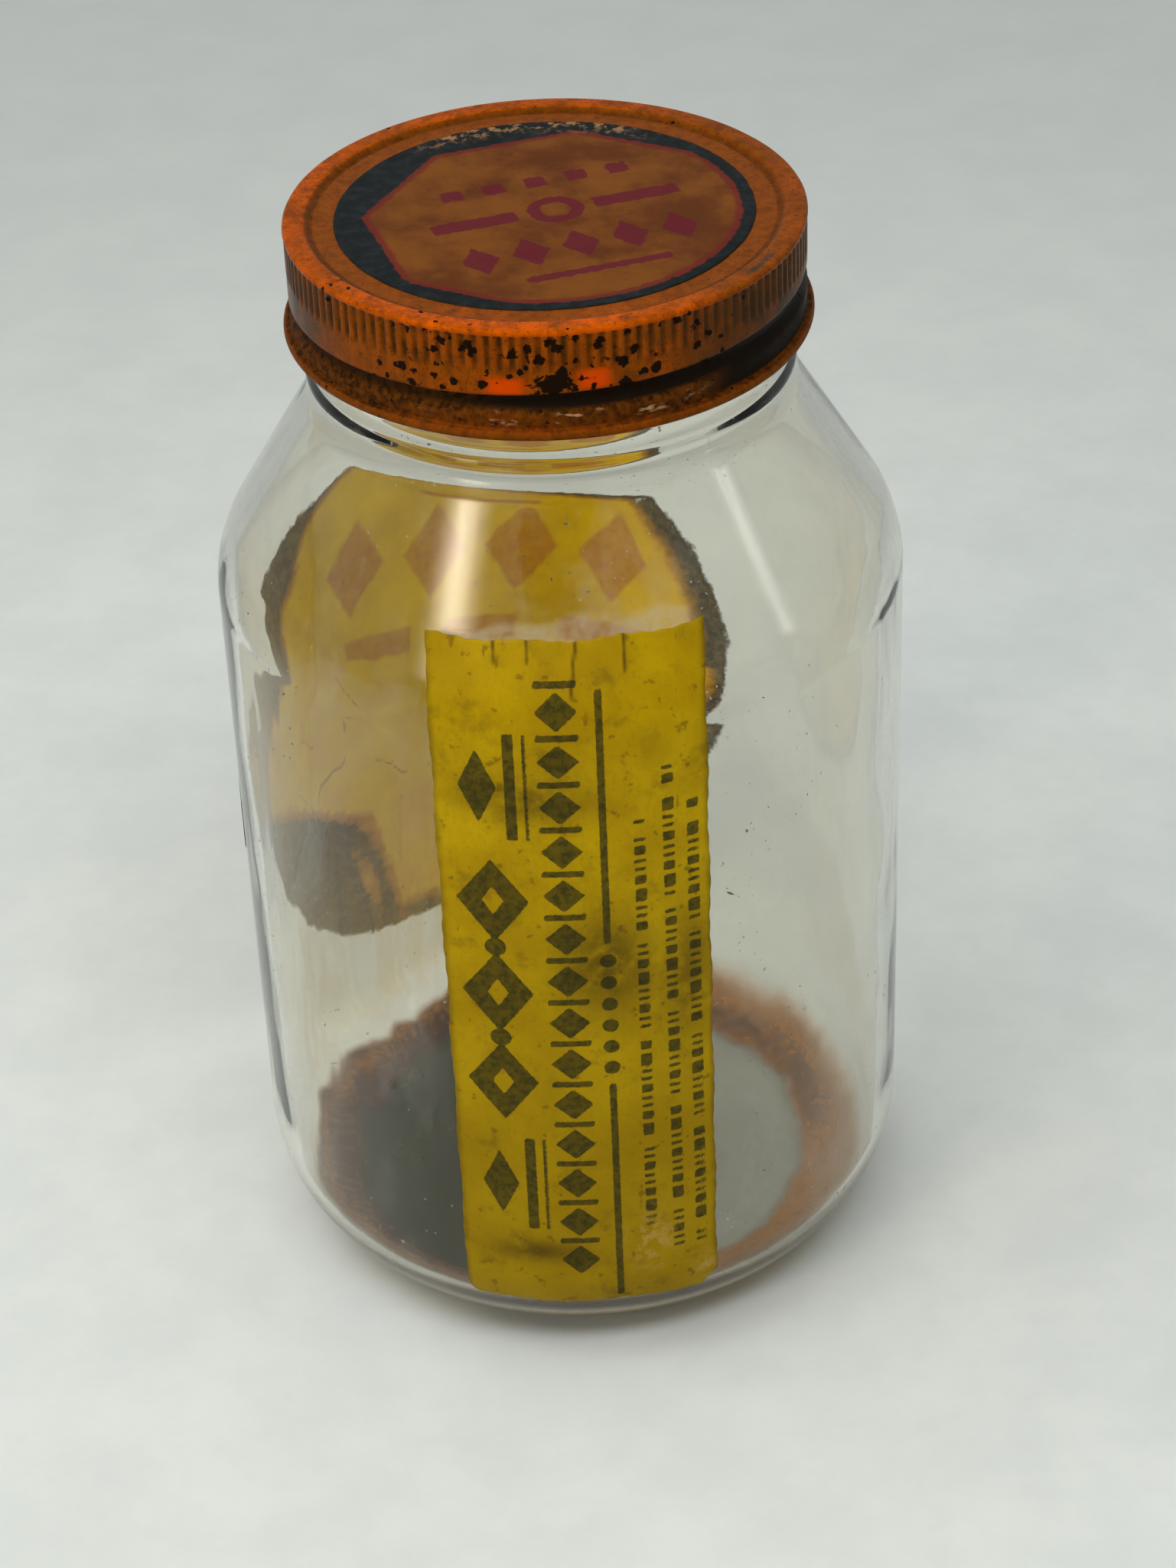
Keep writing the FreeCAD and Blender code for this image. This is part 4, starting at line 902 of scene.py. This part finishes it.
def make_liner():
    """The liner's board and its waxed facing, which has a ring of oil where it sits on the lip."""
    columns = 96
    bearing = bearings(columns)
    for node, slot, material in (
        ("lid_liner_board", "liner_board", board_material()),
        ("lid_liner_facing", "liner_paper", facing_material()),
    ):
        low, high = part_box(node)
        edge = high.x / MM
        radii = [0, 8, 16, 24, 28, 30, 31, 32, 33, 33.8, edge - 0.15, edge]
        radius, height = disc_rows(radii, high.z / MM, low.z / MM)
        ring = plateau(radius, FINISH_RADIUS - FINISH_WALL, FINISH_RADIUS, 0.6)
        points = around(radius, height, bearing)
        piece = turned(node.replace("lid_liner", "liner"), points, material, ring=ring)
        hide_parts(node)
        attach(piece, "liner")


def wall_point(along, offset):
    """The radius and height of a point on the outside of the glass, a distance up from the label's foot."""
    heel_turn = math.radians(LABEL_HEEL_WRAP)
    low = np.clip(along / HEEL_RADIUS - heel_turn, -heel_turn, 0)
    bend = np.clip((along - HEEL_RUN - WALL_RUN) / SHOULDER_RADIUS, 0, SLOPE)
    cone = np.maximum(along - HEEL_RUN - WALL_RUN - BEND_RUN, 0)
    under = np.minimum(along, 0)
    radius = BODY_RADIUS - HEEL_RADIUS * (1 - np.cos(low)) - SHOULDER_RADIUS * (1 - np.cos(bend))
    height = HEEL_RADIUS + HEEL_RADIUS * np.sin(low) + np.clip(along - HEEL_RUN, 0, WALL_RUN)
    height = height + SHOULDER_RADIUS * np.sin(bend) + cone * math.cos(SLOPE) + under * math.cos(heel_turn)
    radius = radius - cone * math.sin(SLOPE) + under * math.sin(heel_turn)
    tilt = low + bend
    return radius + offset * np.cos(tilt), height + offset * np.sin(tilt)


def on_wall(across, along, offset):
    """Points on the front of the glass, across from its middle line and up from the label's foot."""
    radius, height = wall_point(along, offset)
    return np.stack([across, -np.sqrt(radius**2 - across**2), height], axis=-1)


def label_ink(x, y):
    """The label's printed ornament: lozenges, spots and rules, and rows of short and long dashes."""
    large, small, ends = (43, 59, 75), (51, 67), (24, 94)
    chain_links = 9.5 + 7.4 * np.arange(14)
    outers, holes = row(lozenge, y, x, large, -11.4, 7.0, 5.0), row(lozenge, y, x, large, -11.4, 2.4, 1.5)
    shapes = [np.maximum(outer, -hole) for outer, hole in zip(outers, holes)]
    shapes += row(spot, y, x, small, -11.4, 1.5)
    shapes += row(block, y, x, ends, -8.2, 8.6, 0.75)
    shapes += row(block, y, x, ends, -6.1, 8.6, 0.25)
    shapes += row(lozenge, y, x, ends, -12.6, 6.0, 2.6)
    shapes += row(lozenge, y, x, chain_links, -1.6, 2.8, 2.9)
    shapes += row(block, y, x, chain_links + 3.7, -1.6, 0.5, 2.9)
    shapes += row(block, y, x, (22, 88), 4.1, 20.5, 0.5)
    shapes += row(spot, y, x, 45.5 + 3.8 * np.arange(6), 4.1, 1.15)
    lengths = (0.6, 1.5, 0.6, 0.6, 2.2, 1.5, 0.6)
    space, wide_space = 0.75, 2.4
    for column, first, last in ((9.0, 15, 88), (13.0, 10, 96), (16.3, 10, 90)):
        place, step = first, int(column)
        while place < last:
            half = lengths[step % len(lengths)] / 2
            shapes.append(block(x, y, column, place + half, 0.8, half))
            place += 2 * half + (wide_space if step % 9 == 8 else space)
            step += 1
    return joined(shapes, 2)


def make_label():
    """The paper label, pasted from the heel to the shoulder, with a rounded and a dog-eared corner."""
    columns, rows = 94, 296
    share_x, share_y = np.meshgrid(np.linspace(-1, 1, columns), np.linspace(0, 1, rows))
    x = share_x * LABEL_HALF_WIDTH
    round_corner, cut_corner, cut_slope = 3.0, 2.6, 1.1
    left = np.maximum(0, -x - LABEL_HALF_WIDTH + round_corner)
    right = np.maximum(0, x - LABEL_HALF_WIDTH + cut_corner)
    foot = round_corner - np.sqrt(np.maximum(round_corner**2 - left**2, 0)) + right * cut_slope
    foot = foot + 0.25 * np.sin(x * 0.35) + 0.12 * np.sin(x * 1.9) + 0.25
    head = LABEL_LENGTH - 0.25 - 0.2 * np.sin(x * 0.5 + 1) - 0.1 * np.sin(x * 2.3)
    y = foot + (head - foot) * share_y
    x = x + (0.12 * np.sin(y * 0.35) + 0.06 * np.sin(y * 1.7)) * np.abs(share_x) ** 8 - 0.15 * share_x**9
    pleat = np.zeros(x.shape)
    crease = np.full(x.shape, 9.0)
    # Pleats that run down from the head, each with a start, a lean and a run
    for start, lean, run in ((1.5, 0.12, 14.0), (7.9, 0.02, 9.0), (-9.5, -0.08, 7.0), (-5.0, 0.05, 6.0)):
        below = LABEL_LENGTH - y
        away = np.abs(x - start + lean * below)
        fade = 1 - smoothstep(run * 0.5, run, below)
        pleat = np.maximum(pleat, fade * (1 - smoothstep(0.1, 0.7, away)))
        crease = np.minimum(crease, away + 3 * (1 - fade))
    flat = np.stack([x, y, np.zeros(x.shape)], axis=-1)
    lift = 0.03 * (wobble(flat, 6.0, 6) + 1) + 0.06 * pleat
    near = on_wall(x, y, GLUE_GAP * 0.5)
    far = on_wall(x, y, np.minimum(GLUE_GAP + LABEL_PAPER * 0.35 + lift, GLUE_GAP + LABEL_PAPER))
    stains = [
        0.9 * blob(x, y, 4, 64, 7, 9),
        0.9 * blob(x, y, -8, 11, 6, 2.2),
        0.8 * blob(x, y, -6, 92, 9, 3.5),
        0.7 * blob(x, y, 15, 60, 4, 12),
        0.6 * smoothstep(LABEL_HALF_WIDTH - 1.2, LABEL_HALF_WIDTH, np.abs(x)),
        1 - smoothstep(0.08, 0.35, crease),
    ]
    rubbed = np.maximum(blob(x, y, 9, 12, 3.2, 5.0), blob(x, y, 17, 4, 1.6, 3.0))
    grime = 1 - smoothstep(0, LABEL_LENGTH * 0.8, y) + 0.6 * smoothstep(LABEL_LENGTH * 0.82, LABEL_LENGTH, y)
    fields = {"ink": label_ink(x, y), "stain": np.maximum.reduce(stains), "rubbed": rubbed, "grime": grime}
    piece = pasted("paper_label", near, far, label_material(), **fields)
    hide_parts("front_label")
    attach(piece, "jar")

    columns, rows = 60, 16
    share_x, share_y = np.meshgrid(np.linspace(-1, 1, columns), np.linspace(0, 1, rows))
    x = share_x * (LABEL_HALF_WIDTH - 0.4)
    y = LABEL_LENGTH - 1.0 + share_y * (3.2 + 1.6 * np.sin(share_x * 2.2 + 0.9) + 0.5 * np.sin(share_x * 11))
    film = (1 - smoothstep(0.55, 1.0, share_y)) * (1 - smoothstep(0.85, 1.0, np.abs(share_x)))
    paste = pasted("label_paste", on_wall(x, y, 0.01), on_wall(x, y, 0.05), glue_material(), film=film)
    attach(paste, "jar")


def make_back_decal():
    """The large round transfer on the far wall, with bars and lozenges, and a faded and scorched lower side.

    In its own plane, a runs round the jar to the left as seen through the front, and b runs up.
    """
    columns, rings = 300, 80
    share = np.linspace(0, 1, rings)
    share = np.concatenate([share, share[::-1]])[:, None]
    outside = (np.arange(2 * rings) < rings)[:, None]
    angle = np.linspace(0, 2 * math.pi, columns, endpoint=False)[None, :]
    reach = DECAL_RADIUS - 0.4 + 0.3 * np.sin(angle * 7) * np.sin(angle * 3 + 1)
    a, b = share * reach * np.cos(angle) * DECAL_STRETCH, share * reach * np.sin(angle)
    offset = GLUE_GAP + np.where(outside, DECAL_FILM * 0.8, 0.0)
    bearing = DECAL_BEARING + np.degrees(a / BODY_RADIUS)
    points = around(BODY_RADIUS + offset, DECAL_MIDDLE + b, bearing)

    # The edge is torn back on one side, and its dark border is widest at the sides
    torn = 0.15 * plateau(np.degrees(angle) - 360, -58, -6, 20)
    rim = (share - 1 + torn) * reach
    side = np.abs(np.cos(angle)) ** 0.7
    upper = smoothstep(0.2, 0.7, np.sin(angle)) * (1 - side)
    border = np.where(np.sin(angle) > 0, side, 0.6) * np.where(np.cos(angle) > 0, 5.6, 4.4)
    edge = rim + 0.3 - 2.4 * upper + border
    edge = np.maximum(edge, rim + 8.5 * plateau(np.degrees(angle), 18, 62, 12))
    tilt = math.radians(9.5)
    x, y = a * math.cos(tilt) + b * math.sin(tilt), b * math.cos(tilt) - a * math.sin(tilt)
    shapes = [block(x, y, -7, 36.5, 10.0, 1.6)]
    shapes += row(lozenge, x, y, (-31, -15.5, 0, 15.5), 23.0, 6.0, 8.5)
    shapes += row(block, x, y, (-30, -10, 10), 8.0, 6.6, 2.2)
    shapes += row(spot, x, y, (-30, -10, 10), -3.5, 2.8)
    faded = 0.74 * a - 5 - b + 1.5 * np.sin(a * 0.4)
    crease = np.full(a.shape, 9.0)
    for start, rise, lean in ((27, 1, 0.35), (18, 2, 2.6), (21, -9, -0.8), (9, -13, 0.5), (31, -8, 0.9)):
        run = a - start
        away = np.abs(b - rise - lean * run - 1.2 * np.sin(run * 0.5)) / math.hypot(1, lean)
        crease = np.minimum(crease, away + 2 * smoothstep(4, 9, np.hypot(run, b - rise)))
    # A scorched corner with a clear tongue in it
    corner = np.maximum(10.1 + 0.26 * (b + 39.8) - a, 0.84 * (b + 21 - 0.65 * (a - 15)))
    tongue = np.hypot((a - 15.2 - 0.2 * (b + 33)) / 1.1, (b + 33) / 5.0) * 1.1 - 1.1
    burn = -np.maximum(corner, -tongue)
    piece = turned(
        "wall_transfer", points, jar_transfer_material(), edge=edge, rim=rim, marks=joined(shapes, 3),
        faded=faded, crease=crease, burn=burn, gummed=~outside * 1.0,
    )
    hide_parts("back_decal")
    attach(piece, "jar")


def make_residue():
    """The dried oil in the bottom corner, with runs above it, and the film that it left on the floor."""
    columns = 300
    gap = 0.06
    inner = BODY_RADIUS - GLASS_WALL
    heel = (inner - INNER_HEEL_RADIUS, FLOOR_THICKNESS + INNER_HEEL_RADIUS)
    bearing = bearings(columns)
    # turn follows the rounded corner up from the floor, and climb goes on up the wall
    bent, straight = 60, 24
    turn = np.concatenate([np.linspace(-86, 0, bent), np.zeros(straight)])[:, None]
    climb = np.concatenate([np.zeros(bent), np.linspace(1.8, 44, straight)])[:, None]

    def corner(lift):
        depth = INNER_HEEL_RADIUS - gap - lift
        radius = heel[0] + depth * np.cos(np.radians(turn))
        return around(radius, heel[1] + depth * np.sin(np.radians(turn)) + climb, bearing)

    ring = around(40.0, 0.0, bearing)
    uneven = wobble(ring, 9.0, 7) + 0.5 * wobble(ring, 3.0, 8)
    # The ring of oil reaches from its inner edge to its top, and is thicker and sharper on the left
    left_rear = plateau(bearing % 360, 195, 275, 14)
    left = plateau(bearing % 360, 185, 340, 18)
    lobes = wobble(ring, 5.0, 9)
    top = -33 + 5 * uneven + left_rear * (9 * lobes - 10)
    soft = 22 - 11 * left
    inner_edge = -88 + 8 * left + 5 * lobes
    body = smoothstep(inner_edge, inner_edge + 14, turn)
    body = body * (1 - smoothstep(top - soft, top + 0.5 * soft, turn)) * (0.62 + 0.38 * left)
    deep = 0.2 + left * 0.28 + 0.35 * plateau(turn, -80, -58, 8) - 0.6 * plateau(bearing, 12, 85, 16)
    runs = plateau(bearing % 360, 178, 262, 14) * (1 - smoothstep(4, 44, climb)) * smoothstep(-50, -20, turn)
    seat = corner(0.0)
    face = corner(0.02 + 0.5 * body)
    fields = {"body": body, "deep": deep, "runs": runs, "fringe": smoothstep(-66, -50, turn)}
    fields = {name: np.concatenate([values, values[::-1]]) for name, values in fields.items()}
    points = np.concatenate([face, seat[::-1]])
    piece = turned("dried_oil", points, dried_oil_material(), poles=False, **fields)
    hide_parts("oil_residue")
    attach(piece, "jar")

    film_turn = math.radians(28)
    bend = INNER_HEEL_RADIUS * math.sin(film_turn)
    radii = np.concatenate([np.linspace(0, heel[0], 20), heel[0] + np.linspace(0.5, bend, 8)])
    radius, lift = disc_rows(radii, 0.05, 0.02)
    dome = FLOOR_DOME * np.maximum(1 - (radius / heel[0]) ** 2, 0)
    rise = INNER_HEEL_RADIUS - np.sqrt(INNER_HEEL_RADIUS**2 - np.maximum(radius - heel[0], 0) ** 2)
    points = around(radius, FLOOR_THICKNESS + dome + rise + lift, bearing)
    darker = smoothstep(8, -12, points[..., 0])
    film = (0.19 + 0.69 * darker) * (1 - smoothstep(0.95, 1.0, radius / (heel[0] + bend)))
    floor = turned("oil_film", points, oil_film_material(), film=film)
    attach(floor, "jar")


def make_floor():
    """A pale sheet that the jar stands on, with painted shade that darkens it away from the jar, and which
    far from the jar is an even pale background.
    """
    tree = material_tree("pale_sheet")
    crumple = tree.noise(22.0, 5.0, 0.6)
    mottle = tree.noise(5.0, 5.0, 0.65)
    dark, light = (0.66, 0.703, 0.694, 1.0), (0.713, 0.756, 0.742, 1.0)
    tree.colour = tree.mix(tree.step(crumple, 0.3, 0.7), dark, light)
    tree.coat(tree.step(mottle, 0.45, 0.75, 0.0, 0.25), (0.64, 0.665, 0.652, 1.0))
    # Painted shade: the sheet darkens away from the jar, from 0.12 to 0.45 m out
    away = tree.add("ShaderNodeVectorMath", {0: tree.place}, operation="LENGTH").outputs["Value"]
    tree.coat(tree.step(away, 0.12, 0.45, 0.0, 0.5), (0.53, 0.545, 0.535, 1.0))
    sheet = tree.surface(base_color=tree.colour, roughness=0.8, normal=tree.bump(crumple, 0.2, 0.6))
    path = tree.add("ShaderNodeLightPath").outputs
    seen = tree.larger(path["Is Camera Ray"], path["Is Glossy Ray"])
    seen = tree.larger(seen, path["Is Transmission Ray"])
    far = tree.product(tree.step(away, 0.5, 1.0), seen)
    pale = tree.add("ShaderNodeEmission", {"Color": (0.46, 0.485, 0.475, 1.0), "Strength": 1.0}).outputs[0]
    material = tree.finish(tree.add("ShaderNodeMixShader", {0: far, 1: sheet, 2: pale}).outputs[0])
    half = 12000.0
    corners = np.array([(-half, -half, 0), (half, -half, 0), (half, half, 0), (-half, half, 0)], float)
    floor = make_object("floor", corners, [(0, 1, 2, 3)], {}, material)


def add_lamp(name, bearing, rise, distance, width, height, power, colour, soft=False):
    """A rectangular lamp that faces the jar from a bearing and a rise. A soft one fades to its edges."""
    a, e = math.radians(bearing), math.radians(rise)
    aim = Vector((0, 0, 0.09))
    way = Vector((math.sin(a) * math.cos(e), -math.cos(a) * math.cos(e), math.sin(e)))
    light = bpy.data.lights.new(name, "AREA")
    light.shape = "RECTANGLE"
    light.size = width
    light.size_y = height
    light.energy = power
    light.color = colour
    lamp = bpy.data.objects.new(name, light)
    lamp.location = aim + way * distance
    lamp.rotation_euler = way.to_track_quat("Z", "Y").to_euler()
    if soft:
        tree = Tree(light)
        place = tree.add("ShaderNodeNewGeometry").outputs["Parametric"]
        middle = {0: place, 1: (2.0, 2.0, 0.0), 2: (-1.0, -1.0, 0.0)}
        spread = tree.add("ShaderNodeVectorMath", middle, operation="MULTIPLY_ADD").outputs[0]
        fade = tree.add("ShaderNodeTexGradient", {0: spread}, gradient_type="QUADRATIC_SPHERE").outputs["Fac"]
        tree.finish(tree.add("ShaderNodeEmission", {"Strength": fade}).outputs[0], "ShaderNodeOutputLight")
    scene.collection.objects.link(lamp)


def light_scene():
    """A pale room that is dimmer behind the camera, and four lamps."""
    tree = Tree(bpy.data.worlds.new("studio"))
    way = tree.add("ShaderNodeTexCoord").outputs["Generated"]
    depth = tree.add("ShaderNodeSeparateXYZ", {"Vector": way}).outputs["Y"]
    colour = tree.mix(tree.step(depth, -0.8, -0.1), (0.35, 0.36, 0.35, 1.0), (0.93, 0.97, 0.95, 1.0))
    shader = tree.add("ShaderNodeBackground", {"Color": colour, "Strength": 0.4}).outputs[0]
    scene.world = tree.finish(shader, "ShaderNodeOutputWorld")
    # Bearing, rise, distance, width and height in metres, watts and colour
    add_lamp("ceiling", -70, 60, 1.15, 0.9, 0.8, 5.5, (1.0, 0.99, 0.96))
    add_lamp("front_fill", 10, 58, 1.4, 1.0, 0.3, 8.2, (1.0, 0.99, 0.97))
    add_lamp("left_window", -41, 28, 0.9, 0.4, 0.36, 12.0, (1.0, 0.86, 0.66), soft=True)
    add_lamp("right_window", 77, 20.5, 0.9, 0.15, 0.34, 1.3, (1.0, 0.98, 0.95), soft=True)


def add_camera():
    """The camera of the photograph, which is 2049 pixels tall."""
    focal, tall, sensor = 4760.35, 2049, 36.0
    eye = Vector((0.0, -0.448257, 0.38658))
    yaw, pitch, roll = math.radians(0.335), math.radians(34.947), math.radians(-2.411)
    ahead = Vector((math.sin(yaw) * math.cos(pitch), math.cos(yaw) * math.cos(pitch), -math.sin(pitch)))
    level = Vector((math.cos(yaw), -math.sin(yaw), 0.0))
    upright = level.cross(ahead)
    right = level * math.cos(roll) + upright * math.sin(roll)
    up = upright * math.cos(roll) - level * math.sin(roll)
    data = bpy.data.cameras.new("camera")
    data.sensor_width = sensor
    data.lens = focal / tall * sensor
    data.clip_start = 0.01
    camera = bpy.data.objects.new("camera", data)
    turn = Matrix((right, up, -ahead)).transposed()
    camera.matrix_world = Matrix.Translation(eye) @ turn.to_4x4()
    scene.collection.objects.link(camera)
    scene.camera = camera


make_glass()
make_lid()
make_lid_decal()
make_liner()
make_label()
make_back_decal()
make_residue()
make_floor()
light_scene()
add_camera()

scene.view_settings.view_transform = "Standard"
scene.cycles.caustics_refractive = False
scene.cycles.caustics_reflective = False
scene.cycles.transparent_max_bounces = 32
scene.cycles.max_bounces = 20
scene.cycles.transmission_bounces = 20
